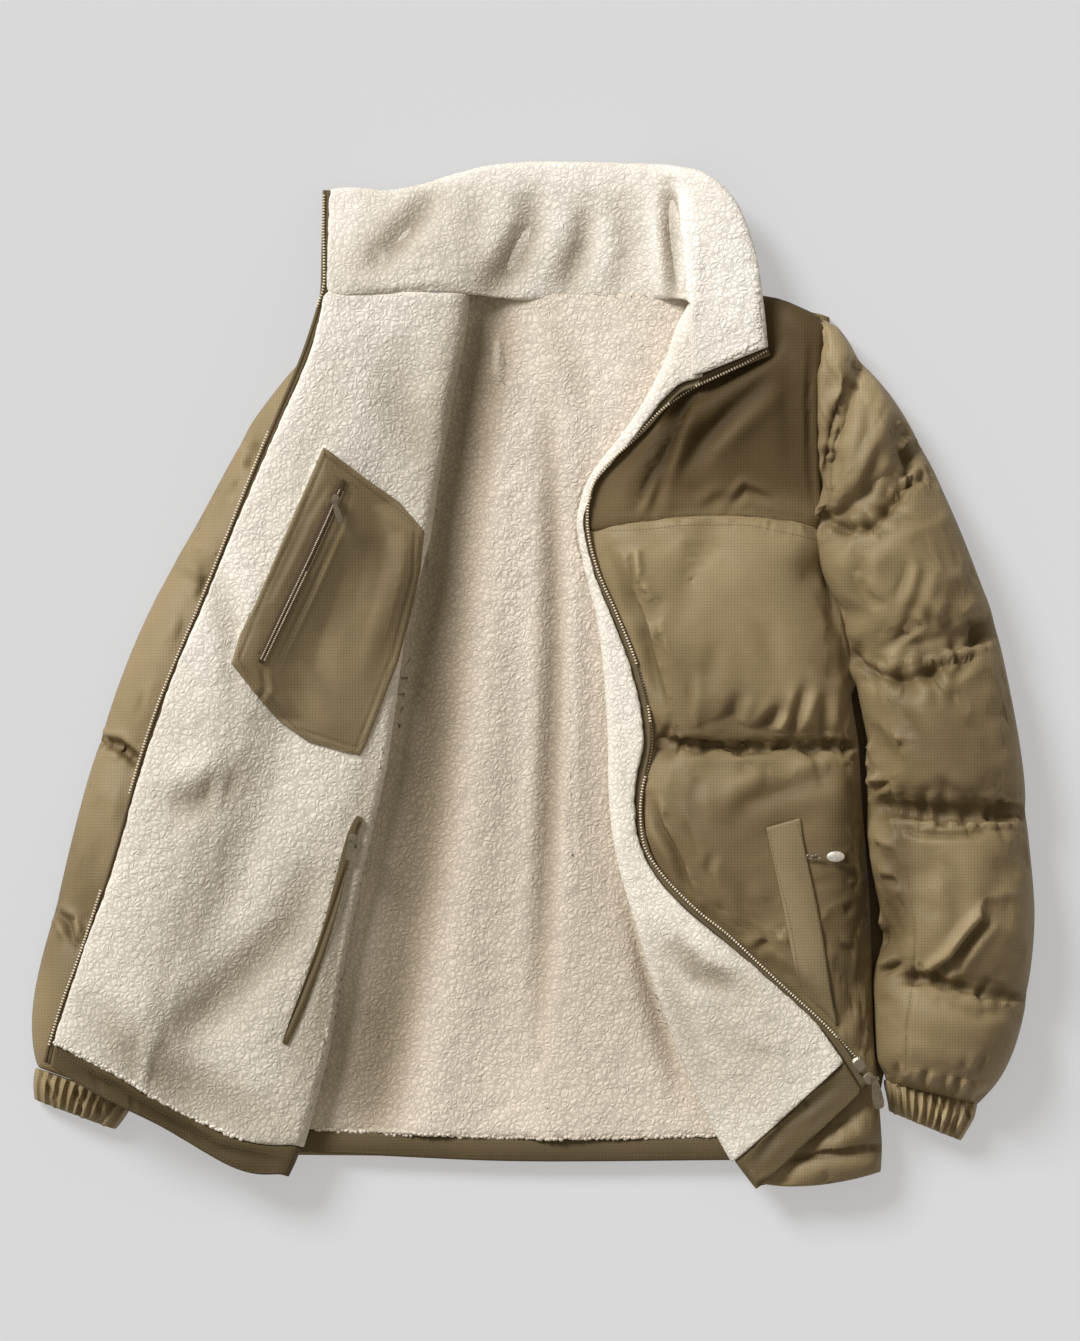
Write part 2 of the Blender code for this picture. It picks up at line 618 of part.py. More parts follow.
def right_front_pieces(shell, fleece, tape):
    front = RightFront(RIGHT_ROWS, RIGHT_SIDE, RIGHT_LAYERS, -1)
    places = stations(RIGHT_STOPS)
    shares = RIGHT_FLAP_SHARES
    front_piece("right_front_shell", front, places, right_columns, shares,
                shell_reach(front), shell)
    covered = [p for p in places if p <= RIGHT_FLEECE_END]
    front_piece("right_front_lining", front, covered, lining_columns(21.0), shares,
                fleece_reach(front), fleece)
    faced = [RIGHT_FLEECE_END + 0.02] + [p for p in places if p > RIGHT_FLEECE_END]
    front_piece("right_front_hem_facing", front, faced, lining_columns(21.0), shares,
                fleece_reach(front, 3.5), shell)
    front_tape("right_zip_tape", front, places, 0, tape)
    return front


def back_pieces(shell, fleece):
    """The back lies under everything; only the middle of its fleece and its hem show."""
    tops = [Edge(-141, 295), Edge(-95, 311), Edge(-40, 311.6), Edge(109, 310.5),
            Edge(130, 306), Edge(182, 313), Edge(192, 313), Edge(237, 295)]
    levels = [1, .96, .8, .66, .5, .3, 0]
    outer, inner = [], []
    for t in levels:
        y_side = ARMPIT_Y + (295 - ARMPIT_Y) * t
        row_out, row_in = [], []
        left, right = look_up(RIGHT_SIDE, y_side), look_up(LEFT_SIDE, y_side)
        for k, u in enumerate((0, .03, .15, .35, .5, .65, .85, .97, 1)):
            x = left + (right - left) * u
            top = look_up(tops, x)
            y = ARMPIT_Y + (top - ARMPIT_Y) * t
            rim = k in (0, 8) or t == 1
            row_out.append((x, y, BACK_TOP if not rim else BACK_TOP - 1))
            row_in.append((x, y, 0.0))
        outer.append(row_out)
        inner.append(row_in)
    for y_side in (62, 30, -3, -52, -118, -184, -250, -307, -352, -385, -399):
        left, right = look_up(RIGHT_SIDE, y_side), look_up(LEFT_SIDE, y_side)
        row_out, row_in = [], []
        for k, u in enumerate((0, .03, .15, .35, .5, .65, .85, .97, 1)):
            x = left + (right - left) * u
            y = y_side
            if y_side < -380:
                y = y_side + 2 * (1 - abs(2 * u - 1)) + 5.5 * (1 - u) ** 2
            row_out.append((x, y, BACK_TOP if k not in (0, 8) else BACK_TOP - 1))
            row_in.append((x, y, 0.0))
        outer.append(row_out)
        inner.append(row_in)
    wall("back_shell", outer, inner, shell)

    def fold_height(x, y):
        """Soft folds of the fleece, only where nothing lies on it."""
        t = clamp((310 - y) / 690)
        height = 0.0
        for fold in BACK_FOLDS:
            centre = ((1 - t) * (1 - 2 * t) * fold.top_x + 4 * t * (1 - t) * fold.mid_x
                      + t * (2 * t - 1) * fold.bottom_x)
            height += fold.height * math.exp(-((x - centre) / fold.width) ** 2)
        clear_left = x - look_up(RIGHT_FOLD_LINE, y)
        clear_right = look_up(LEFT_FOLD_LINE, y) - x
        shown = smooth((clear_left - 6) / 22) * smooth((clear_right - 6) / 22)
        ends = smooth((308 - y) / 50)
        return height * shown * ends

    floor = BACK_TOP + TOUCH
    levels = [306, 290, 262, 225, 180, 130, 80, 30, -20, -75, -130, -185, -240, -290, -335,
              -376]
    outer, inner = [], []
    for n, y in enumerate(levels):
        left = look_up(RIGHT_SIDE, y) + (2 if y > ARMPIT_Y else 27)
        right = look_up(LEFT_SIDE, y) - (2 if y > ARMPIT_Y else 27)
        if n == 0:
            left, right = -120, 150
        if n == 1:
            left, right = left + 4, right - 12
        open_left = look_up(RIGHT_FOLD_LINE, y)
        open_right = look_up(LEFT_FOLD_LINE, y)
        spread = [left, left + 0.5 * (open_left - left), open_left + 4]
        spread += [open_left + 4 + (open_right - open_left - 8) * k / 13 for k in range(1, 13)]
        spread += [open_right - 4, right - 0.5 * (right - open_right), right]
        top, bottom = [], []
        for x in spread:
            drop = look_up(BACK_BOTTOM, x) + 376 if n == len(levels) - 1 else 0
            top.append((x, y + drop, floor + BACK_FLEECE + fold_height(x, y)))
            bottom.append((x, y + drop, floor))
        outer.append(top)
        inner.append(bottom)
    wall("back_lining", outer, inner, fleece)

    outer, inner = [], []
    for drop, rise in ((0.5, 3.5), (3.0, 4.5), (HEM_DROP * 0.6, 5.0), (HEM_DROP, 2.0)):
        row_out, row_in = [], []
        for k in range(13):
            x = -198 + (256 + 198) * k / 12
            y = look_up(BACK_BOTTOM, x) - drop
            row_out.append((x, y, floor + rise))
            row_in.append((x, y, floor))
        outer.append(row_out)
        inner.append(row_in)
    wall("back_hem_facing", outer, inner, shell)


LEFT_FOLD_LINE = sorted({(r.fold_y, r.fold_x) for r in LEFT_ROWS})
RIGHT_FOLD_LINE = sorted({(r.fold_y, r.fold_x) for r in RIGHT_ROWS})


def collar_point(place, share, lift):
    """A point of the collar: share 0 at the neck seam, 1 at its free edge."""
    row = between(COLLAR_ROWS, place)
    swell = 5.0 * math.sin(math.pi * clamp(share))
    z = row.seam_z + (row.top_z - row.seam_z) * smooth(share) + swell * 0.4
    return (row.seam_x + (row.top_x - row.seam_x) * share,
            row.seam_y + (row.top_y - row.seam_y) * share, z + lift)


def collar_pieces(shell, fleece):
    """Shell beneath, fleece on it; the fleece rolls over the free edge."""
    places = stations([(0, .5), (0, .6), (0, .5), (0, .5), (0, .5), (0, .5), (0, .5),
                       (0, .4, .75), (0, .3, .6), (0, .5), (0, .5), (0, .5), (0, .5), (0, .5)])
    shares = (0, .3, .65, .95)
    floor = [[collar_point(p, s, 0) for s in shares] for p in places]
    top = [[collar_point(p, s, COLLAR_SHELL) for s in shares] for p in places]
    wall("collar_shell", top, floor, shell)
    under, crest = COLLAR_SHELL + TOUCH, COLLAR_SHELL + TOUCH + COLLAR_FLEECE
    floor, top = [], []
    for p in places:
        floor.append([collar_point(p, s, under) for s in shares]
                     + [collar_point(p, .968, under - 1), collar_point(p, .972, 0.8)])
        top.append([collar_point(p, s, crest) for s in shares]
                   + [collar_point(p, .99, crest - 3), collar_point(p, 1.0, 3.5)])
    wall("collar_lining", top, floor, fleece)


def ring_shares(top_points):
    """Shares from the inner edge over the top to the outer edge, and back underneath."""
    over = [0.5 - 0.5 * math.cos(math.pi * k / (top_points - 1)) for k in range(top_points)]
    flat = [1 - k / (FLAT_POINTS + 1) for k in range(1, FLAT_POINTS + 1)]
    return over, flat


def sleeve_ring(row, puffed, top_points):
    """One flattened ring: a crowned top from inner to outer edge, and a flat underside."""
    crown = row.crown * (PAD_KEPT + (1 - PAD_KEPT) * puffed)
    pinch = (1 - puffed) * 0.02
    side = SIDE_LEVEL * crown
    over, flat = ring_shares(top_points)
    ring = [(s, side + (crown - side) * (1 - abs(2 * s - 1) ** 2.4) ** 0.5) for s in over]
    ring += [(s, 0.0) for s in flat]
    run_x, run_y = row.outer_x - row.inner_x, row.outer_y - row.inner_y
    points = []
    for s, z in ring:
        s = pinch + s * (1 - 2 * pinch)
        points.append((row.inner_x + run_x * s, row.inner_y + run_y * s, z))
    return points


def slit_ring(row, top_points):
    """The inside of a flattened tube: its top and bottom walls almost touch."""
    over, flat = ring_shares(top_points)
    level = row.crown * 0.32
    ring = [(s, level + 1.0 * math.sin(math.pi * s)) for s in over]
    ring += [(s, level - 1.0) for s in flat]
    run_x, run_y = row.outer_x - row.inner_x, row.outer_y - row.inner_y
    return [(row.inner_x + run_x * (0.1 + 0.8 * s), row.inner_y + run_y * (0.1 + 0.8 * s), z)
            for s, z in ring]


def sleeve(name, rows, finish, steps, top_points):
    """Rings from the shoulder to the cuff, then the slit inside from the cuff back up."""
    lines = [i for i, row in enumerate(rows) if row.quilt]
    rings = []
    for a, b in zip(lines, lines[1:]):
        for t in steps:
            row = between(rows, a + (b - a) * t)
            rings.append(sleeve_ring(row, math.sin(math.pi * t) ** 0.5, top_points))
    last = len(rows) - 1
    rings.append(sleeve_ring(rows[last], 0.0, top_points))
    rings += [slit_ring(between(rows, p), top_points) for p in (last, last - 2, last - 4)]
    return loft(name, rings, finish)


def cuff(name, rows, finish):
    """A gathered band: pleats are raised in its outer points over a plain slit."""
    pleat_points = CUFF_PLEATS * 4 + 1
    flat_points = 9
    rings, slits = [], []
    for n, row in enumerate(rows):
        run_x, run_y = row.outer_x - row.inner_x, row.outer_y - row.inner_y
        outer, inner = [], []
        for k in range(pleat_points):
            s = k / (pleat_points - 1)
            rise = (1 - abs(2 * s - 1) ** 3) ** 0.5
            gather = 0.5 - 0.5 * math.cos(2 * math.pi * CUFF_PLEATS * s)
            depth = 0.8 + 0.2 * gather ** 1.5
            z = row.height * (0.3 + 0.7 * rise) * depth
            outer.append((row.inner_x + run_x * s, row.inner_y + run_y * s, z))
            q = 0.1 + 0.8 * s
            inner.append((row.inner_x + run_x * q, row.inner_y + run_y * q,
                          row.height * 0.42 + 1.2 * math.sin(math.pi * s)))
        for k in range(1, flat_points + 1):
            s = 1 - k / (flat_points + 1)
            q = 0.1 + 0.8 * s
            outer.append((row.inner_x + run_x * s, row.inner_y + run_y * s, 0.0))
            inner.append((row.inner_x + run_x * q, row.inner_y + run_y * q,
                          row.height * 0.42 - 1.0))
        rings.append(outer)
        slits.append(inner)
    return loft(name, rings + [slits[-1], slits[1]], finish)


# ---- zips, pockets and pulls ------------------------------------------------------------------

def front_tape(name, front, places, collar_end, finish):
    """The zip tape with its row of teeth, up the edge of a front and of the collar."""
    path = []
    for p in reversed(places):
        row, centre, _ = front.turn(p)
        run = (row.zip_x - centre[0], row.zip_y - centre[1])
        length = math.hypot(*run)
        half = min(TAPE_WIDTH, 0.88 * length) * 0.5 - SEAM
        out = (run[0] / length, run[1] / length)
        x, y = row.zip_x - out[0] * half, row.zip_y - out[1] * half
        z = front.flap_floor(x, y) + max(front.flap_shell(x, y) * 0.6, TEETH * 0.5) + 0.7
        path.append((x, y, z, half, *out))
    row = COLLAR_ROWS[collar_end]
    inside = COLLAR_ROWS[1 if collar_end == 0 else collar_end - 1]
    run = (row.top_x - row.seam_x, row.top_y - row.seam_y)
    length = math.hypot(*run)
    out = (run[1] / length, -run[0] / length)
    if out[0] * (row.seam_x - inside.seam_x) + out[1] * (row.seam_y - inside.seam_y) < 0:
        out = (-out[0], -out[1])
    half = TAPE_WIDTH * 0.5 - SEAM
    for s in (0.1, 0.3, 0.5, 0.7, 0.9, 0.99):
        x, y, z = collar_point(collar_end, s, COLLAR_SHELL * 0.6)
        reach = half + 1.5 * SEAM
        path.append((x + out[0] * reach, y + out[1] * reach, z, half, *out))
    top, bottom = [], []
    for x, y, z, half, out_x, out_y in path:
        edge = half - TEETH * 0.9
        crest, base = [], []
        for s, rise in ((-half, TAPE), (edge, TAPE), (edge + 0.1, TEETH), (half, TEETH)):
            crest.append((x + out_x * s, y + out_y * s, z + rise * 0.5))
            base.append((x + out_x * s, y + out_y * s, z - rise * 0.5))
        top.append(crest)
        bottom.append(base)
    wall(name, top, bottom, finish)


def top_of(*solids):
    """A function of x and y: the height of the highest of these solids there."""
    trees = []
    for solid in solids:
        points = [v.co.copy() for v in solid.data.vertices]
        trees.append(BVHTree.FromPolygons(points, [tuple(f.vertices)
                                                   for f in solid.data.polygons]))

    def height(x, y):
        hits = [tree.ray_cast(Vector((x * MM, y * MM, 0.3)), Vector((0, 0, -1)))[0]
                for tree in trees]
        return max([hit.z / MM for hit in hits if hit is not None], default=0.0)
    return height


def laid(plan, height, gap=TOUCH):
    """Heights over a grid of plan points, none of whose facets dips into what it lies on."""
    z = [[height(x, y) + gap for x, y in row] for row in plan]
    probes = [(u / 4, v / 4) for u in range(5) for v in range(5)]
    for _ in range(5):
        for i in range(len(plan) - 1):
            for j in range(len(plan[0]) - 1):
                for u, v in probes:
                    third = ((i, j + 1, u - v) if v <= u else (i + 1, j, v - u))
                    corners = ((i, j, 1 - max(u, v)), third, (i + 1, j + 1, min(u, v)))
                    x = sum(plan[r][c][0] * share for r, c, share in corners)
                    y = sum(plan[r][c][1] * share for r, c, share in corners)
                    short = height(x, y) + gap - sum(z[r][c] * share
                                                     for r, c, share in corners)
                    if short > 0:
                        for r, c, share in corners:
                            z[r][c] += short if share > 0 else 0
    return z


def patch(name, rows, steps, columns, height, thick, crown, finish):
    """A flat piece that follows what it lies on, a little fuller in its middle."""
    plan = []
    for n in range(steps + 1):
        row = between(rows, (len(rows) - 1) * n / steps)
        plan.append([(row.left_x + (row.right_x - row.left_x) * k / columns,
                      row.left_y + (row.right_y - row.left_y) * k / columns)
                     for k in range(columns + 1)])
    under = laid(plan, height)
    bottom = [[(x, y, z) for (x, y), z in zip(*pair)] for pair in zip(plan, under)]
    top = []
    for n, row in enumerate(bottom):
        along = min(1.0, 3 * n / steps, 3 * (1 - n / steps))
        across = [min(1.0, 3 * k / columns, 3 * (1 - k / columns))
                  for k in range(columns + 1)]
        top.append([(x, y, z + thick + crown * along * share)
                    for (x, y, z), share in zip(row, across)])
    return wall(name, top, bottom, finish)


def band(name, spots, steps, width, height, thick, finish):
    """A narrow strip along a line on a surface, such as a zip or a bound slit."""
    rows = []
    for n in range(steps + 1):
        place = (len(spots) - 1) * n / steps
        here = between(spots, place)
        a = between(spots, max(place - 0.1, 0))
        b = between(spots, min(place + 0.1, len(spots) - 1))
        length = math.hypot(b.x - a.x, b.y - a.y)
        end = 0.6 if n in (0, steps) else 1.0
        side_x = (b.y - a.y) / length * width * 0.5 * end
        side_y = -(b.x - a.x) / length * width * 0.5 * end
        rows.append(PatchRow(here.x - side_x, here.y - side_y, here.x + side_x,
                             here.y + side_y))
    return patch(name, rows, steps, 2, height, thick, 0.6, finish)


class Place:
    """A small level frame: x runs along a heading, z up from a height, tilted if asked."""

    def __init__(self, x, y, z, heading, tilt=0.0):
        self.origin = (x, y, z)
        self.along = (math.cos(heading) * math.cos(tilt), math.sin(heading) * math.cos(tilt),
                      math.sin(tilt))
        self.across = (-math.sin(heading), math.cos(heading), 0.0)
        self.up = (-math.cos(heading) * math.sin(tilt), -math.sin(heading) * math.sin(tilt),
                   math.cos(tilt))

    def __call__(self, x, y, z):
        return tuple(o + x * a + y * b + z * c for o, a, b, c
                     in zip(self.origin, self.along, self.across, self.up))


def block(name, levels, place, finish, count=16):
    """A rounded block through level outlines: (z, length / 2, width / 2, centre x)."""
    rings = []
    for z, half_long, half_wide, shift in levels:
        outline = []
        for k in range(count):
            a = 2 * math.pi * k / count
            c, s = math.cos(a), math.sin(a)
            r = (abs(c) ** 3.2 + abs(s) ** 3.2) ** (-1 / 3.2)
            outline.append(place(shift + half_long * c * r, half_wide * s * r, z))
        rings.append(outline)
    return loft(name, rings, finish)


def pull(name, length, eye, tip, thick, place, finish, count=16):
    """A flat zip pull with a hole: its eye is on the hinge, at the place's origin."""
    outer, hole = [], []
    for k in range(count):
        a = math.pi + 2 * math.pi * k / count
        share = 0.5 - 0.5 * math.cos(a - math.pi)
        radius = eye + (tip - eye) * smooth(share)
        centre = (length - tip) * smooth(share * 1.15)
        outer.append((centre + radius * math.cos(a), radius * math.sin(a)))
        hole.append((eye * 0.5 * math.cos(a), eye * 0.5 * math.sin(a)))
    points, faces = [], []
    for z in (thick * 0.5, -thick * 0.5):
        for outline in (outer, hole):
            points += [place(x, y, z) for x, y in outline]
    for k in range(count):
        n = (k + 1) % count
        rim, inside = 0, count
        low_rim, low_inside = 2 * count, 3 * count
        for a, b in ((rim, inside), (low_rim, low_inside), (rim, low_rim),
                     (inside, low_inside)):
            faces.append((a + k, a + n, b + n))
            faces.append((a + k, b + n, b + k))
    return finish_object(name, closed_mesh(points, faces), finish)


def add_ears(carrier, place, inside, thick, half_long, low, floor, high):
    """Joins two ears and their foot to a slider: the pull's eye turns between them."""
    outside = inside + thick
    profile = [(-outside, low), (outside, low), (outside, high), (inside, high),
               (inside, floor), (-inside, floor), (-inside, high), (-outside, high)]
    points = [place(x, y, z) for x in (-half_long, half_long) for y, z in profile]
    faces = []
    for first in (0, 8):
        faces += [tuple(first + i for i in corners) for corners in
                  ((0, 1, 4), (0, 4, 5), (0, 5, 6), (0, 6, 7), (1, 2, 3), (1, 3, 4))]
    for k in range(8):
        n = (k + 1) % 8
        faces += [(k, n, 8 + n), (k, 8 + n, 8 + k)]
    ears = finish_object("ears", closed_mesh(points, faces), carrier.data.materials[0])
    union = carrier.modifiers.new("join", "BOOLEAN")
    union.operation, union.object, union.solver = "UNION", ears, "EXACT"
    seen = carrier.evaluated_get(bpy.context.evaluated_depsgraph_get())
    joined = bpy.data.meshes.new_from_object(seen)
    carrier.modifiers.clear()
    carrier.data = joined
    bpy.data.objects.remove(ears, do_unlink=True)


def main_zip(left, metal):
    """Slider and pin box at the foot of the zip, and the pull that hangs from the slider."""
    along_zip = math.radians(-55)
    top = left.flap_floor(262, -312) + 7.2
    block("zip_slider", [(0.0, 6.0, 4.6, 0), (1.2, 7.0, 5.4, 0), (4.0, 6.6, 5.0, 0),
                         (5.0, 4.6, 3.4, 0)], Place(268.5, -318.0, top, along_zip), metal)
    box = block("zip_pin_box", [(0.0, 4.2, 4.0, 0), (0.8, 4.8, 4.6, 0), (3.4, 4.8, 4.6, 0),
                          (4.2, 4.0, 3.8, 0)], Place(276.5, -329.5, top, along_zip), metal)
    hinge = (280.6, -329.6, top + 7.3, math.radians(-80))
    add_ears(box, Place(*hinge), 2.72, 1.0, 1.5, -4.2, -3.1, 1.3)
    pull("zip_pull", 26.0, 2.6, 5.8, 2.0, Place(*hinge, math.radians(-16)), metal)


def small_slider(name, x, y, height, heading, pull_heading, metal):
    """The slider of a pocket zip, seated on its teeth."""
    seat = max(height(x + dx, y + dy) for dx in (-3, 0, 3) for dy in (-4, 0, 4)) + TOUCH
    place = Place(x, y, seat, heading)
    body = block(name, [(0.0, 3.6, 2.6, 0), (0.6, 4.2, 3.2, 0), (2.0, 4.0, 3.0, 0),
                        (2.6, 3.4, 2.6, 0)], place, metal, 12)
    hinge = (*place(2.2, 0, 0)[:2], seat + 2.6 + 2.35, pull_heading)
    add_ears(body, Place(*hinge), 1.95, 0.7, 1.2, -2.9, -2.3, 0.9)
    return hinge


def pockets(metal, pale, tape, shell, fleece_solid, front_solid):
    """Chest pocket and long lining pocket on the fleece, hand pocket on the shell."""
    on_fleece = top_of(fleece_solid)
    pocket = patch("chest_pocket", CHEST_POCKET, 11, 8, on_fleece, 1.6, 1.2, shell)
    on_pocket = top_of(pocket)
    zip_band = band("chest_pocket_zip", CHEST_ZIP, 7, 7.5, on_pocket, 1.4, tape)
    heading = math.atan2(CHEST_ZIP[-1].y - CHEST_ZIP[0].y, CHEST_ZIP[-1].x - CHEST_ZIP[0].x)
    hinge = small_slider("chest_pocket_slider", -160, 144, top_of(zip_band), heading,
                         math.radians(-72), metal)
    pull("chest_pocket_pull", 17.0, 1.9, 3.0, 1.4, Place(*hinge, math.radians(-8)), metal, 12)

    welt = band("lining_pocket_binding", LINING_WELT, 12, WELT_WIDTH, on_fleece, 1.8, shell)
    hinge = small_slider("lining_pocket_slider", -146.5, -133, top_of(welt),
                         math.radians(-105), math.radians(-100), metal)
    pull("lining_pocket_pull", 16.0, 1.9, 4.0, 1.4,
         Place(*hinge, math.radians(-8)), metal, 12)

    on_front = top_of(front_solid)
    patch("hand_pocket_welt", HAND_WELT, 10, 4, on_front, 1.8, 1.8, shell)
    pull("hand_pocket_pull", 29.0, 2.0, 5.4, 1.6,
         Place(227.4, -146.6, on_front(227, -147) + 3.6, math.radians(-3), math.radians(2)),
         pale, 14)


def centre_on_origin():
    """Moves every solid alike, so that the plan's middle is over the origin."""
    reach = [v.co for solid in bpy.data.objects for v in solid.data.vertices]
    move = Vector([-(min(p[i] for p in reach) + max(p[i] for p in reach)) / 2
                   for i in (0, 1)] + [0.0])
    for solid in bpy.data.objects:
        solid.data.transform(Matrix.Translation(move))
    print("moved by", [round(c / MM, 3) for c in move], "mm")


def main():
    for old in list(bpy.data.objects):
        bpy.data.objects.remove(old, do_unlink=True)
    shell = material("shell_cloth", (0.205, 0.152, 0.083), 0.62)
    fleece = material("sherpa_fleece", (0.60, 0.51, 0.40), 0.95)
    metal = material("pull_metal", (0.30, 0.25, 0.18), 0.38, 0.85)
    pale = material("pull_tip", (0.62, 0.58, 0.50), 0.45)
    tape = material("zip_tape", (0.17, 0.13, 0.075), 0.7)
    back_pieces(shell, fleece)
    left = left_front_pieces(shell, fleece, tape)
    right_front_pieces(shell, fleece, tape)
    collar_pieces(shell, fleece)
    sleeve("left_sleeve", LEFT_SLEEVE_ROWS, shell, (0, .09, .27, .5, .73, .91), 13)
    sleeve("right_sleeve", RIGHT_SLEEVE_ROWS, shell, (0, .15, .5, .85), 9)
    cuff("left_cuff", LEFT_CUFF_ROWS, shell)
    cuff("right_cuff", RIGHT_CUFF_ROWS, shell)
    main_zip(left, metal)
    solids = bpy.data.objects
    pockets(metal, pale, tape, shell, solids["right_front_lining"],
            solids["left_front_shell"])
    centre_on_origin()


main()
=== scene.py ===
# %% [markdown]
# # A quilted jacket with a curly fleece lining, laid open on its back
#
# The jacket lies flat. One front is folded back so that its fleece shows, the other lies shell
# up with its zip edge rolled over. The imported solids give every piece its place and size, and
# this lesson gives each one its cloth: padding, creases, pile, weave, stitches and zips.

# %% Load the frame
import math
import random
from collections import namedtuple

import bmesh
import bpy
import numpy as np
from mathutils import Matrix, Vector
from mathutils.bvhtree import BVHTree


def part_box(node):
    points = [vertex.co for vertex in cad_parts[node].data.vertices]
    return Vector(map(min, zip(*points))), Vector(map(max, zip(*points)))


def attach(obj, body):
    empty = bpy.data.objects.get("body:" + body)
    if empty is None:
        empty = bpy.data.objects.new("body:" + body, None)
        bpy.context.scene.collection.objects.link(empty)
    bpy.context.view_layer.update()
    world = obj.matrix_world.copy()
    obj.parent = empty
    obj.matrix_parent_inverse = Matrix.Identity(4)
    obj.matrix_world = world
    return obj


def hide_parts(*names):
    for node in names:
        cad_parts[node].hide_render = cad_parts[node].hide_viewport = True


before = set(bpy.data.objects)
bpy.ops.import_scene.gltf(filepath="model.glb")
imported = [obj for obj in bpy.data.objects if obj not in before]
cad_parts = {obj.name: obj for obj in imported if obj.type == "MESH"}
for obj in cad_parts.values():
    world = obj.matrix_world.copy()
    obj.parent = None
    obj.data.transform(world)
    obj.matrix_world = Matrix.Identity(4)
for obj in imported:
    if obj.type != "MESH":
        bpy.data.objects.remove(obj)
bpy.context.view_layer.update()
MM = 0.001

# %% [markdown]
# ## The photograph's scale
#
# Creases are read off the photograph, so they are written in its pixels. One pixel is 0.82 mm
# on the surface, and the camera looks straight down through a long lens.

# %% From the photograph to the jacket
PIXEL = 0.82 * MM
MIDDLE_COLUMN, MIDDLE_ROW = 532.53, 674.63      # the pixel over the origin


def spot(column, row):
    """The place in metres, in plan, of one pixel of the photograph."""
    return (column - MIDDLE_COLUMN) * PIXEL, (MIDDLE_ROW - row) * PIXEL


print("top left pixel:", [round(c, 3) for c in spot(0, 0)])

# %% The camera
LENS, SENSOR = 250.0, 36.0                      # both in millimetres
PHOTO_CENTRE, PHOTO_ROWS = (540, 670.5), 1341
MIDDLE_HEIGHT = 30 * MM                         # about half way up the jacket
lens_data = bpy.data.cameras.new("camera")
lens_data.lens = LENS
lens_data.sensor_width = SENSOR
camera = bpy.data.objects.new("camera", lens_data)
bpy.context.collection.objects.link(camera)
camera.location = (*spot(*PHOTO_CENTRE), PHOTO_ROWS * PIXEL * LENS / SENSOR + MIDDLE_HEIGHT)
bpy.context.scene.camera = camera
print("camera height:", round(camera.location.z, 3))

# %% [markdown]
# ## Floor and light
#
# The jacket lies on a pale table that glows a little, which keeps its shadow faint. One broad
# soft light stands low at the upper left and draws the folds, and an even, slightly warm
# surround fills the shadows.

# %% Floor and light
TABLE_GLOW = 0.405
SUN_STRENGTH, SUN_WIDTH = 3.95, 0.36
SUN_HEADING = Vector((0.62, -0.66, -0.63))
SURROUND_STRENGTH = 0.40
bpy.ops.object.select_all(action="DESELECT")
bpy.ops.mesh.primitive_plane_add(size=9.0, location=(0, 0, -0.0004))
floor = bpy.context.object
floor.name = "floor"
floor_finish = bpy.data.materials.new("pale_floor")
floor_finish.use_nodes = True
floor_shader = floor_finish.node_tree.nodes["Principled BSDF"]
floor_shader.inputs["Base Color"].default_value = (0.27, 0.27, 0.272, 1)
floor_shader.inputs["Emission Color"].default_value = (1.0, 1.0, 1.005, 1)
floor_shader.inputs["Emission Strength"].default_value = TABLE_GLOW
floor_shader.inputs["Roughness"].default_value = 1.0
floor_shader.inputs["Specular IOR Level"].default_value = 0.0
floor.data.materials.append(floor_finish)

sun_data = bpy.data.lights.new("window", "SUN")
sun_data.energy = SUN_STRENGTH
sun_data.angle = SUN_WIDTH
sun_data.color = (0.95, 0.97, 1.0)
sun = bpy.data.objects.new("window", sun_data)
bpy.context.collection.objects.link(sun)
sun.rotation_euler = SUN_HEADING.to_track_quat("-Z", "Y").to_euler()

surround = bpy.data.worlds.new("surround")
surround.use_nodes = True
sky = surround.node_tree.nodes["Background"]
sky.inputs["Color"].default_value = (1.0, 0.93, 0.84, 1)
sky.inputs["Strength"].default_value = SURROUND_STRENGTH
bpy.context.scene.world = surround
bpy.context.scene.view_settings.view_transform = "Standard"
print("light from", [round(c, 2) for c in sun.rotation_euler])

# %% [markdown]
# ## Effects that several cloths share
#
# The outer cloth is a fine plain weave with a small check of thicker threads. The lining is a
# pile of tight curls. Both are node groups that read Object coordinates, so they keep their
# real size on every piece.

# %% Small helpers for shader groups
def group(name, inputs, outputs):
    """A shader group with named number inputs and outputs, and its two end nodes."""
    made = bpy.data.node_groups.new(name, "ShaderNodeTree")
    for label, value in inputs:
        made.interface.new_socket(label, in_out="INPUT",
                                  socket_type="NodeSocketFloat").default_value = value
    for label in outputs:
        made.interface.new_socket(label, in_out="OUTPUT", socket_type="NodeSocketFloat")
    return made, made.nodes.new("NodeGroupInput"), made.nodes.new("NodeGroupOutput")


def sums(tree, operation, first, second, third=None):
    """One Math node. Its inputs are sockets or numbers."""
    node = tree.nodes.new("ShaderNodeMath")
    node.operation = operation
    for index, value in enumerate((first, second, third)):
        if value is None:
            continue
        if isinstance(value, (int, float)):
            node.inputs[index].default_value = value
        else:
            tree.links.new(value, node.inputs[index])
    return node.outputs[0]


def ramp(tree, value, low, high, to_low=0.0, to_high=1.0):
    """A value mapped smoothly from one span to another."""
    node = tree.nodes.new("ShaderNodeMapRange")
    node.interpolation_type = "SMOOTHSTEP"
    for label, number in (("From Min", low), ("From Max", high), ("To Min", to_low),
                          ("To Max", to_high)):
        node.inputs[label].default_value = number
    tree.links.new(value, node.inputs["Value"])
    return node.outputs[0]


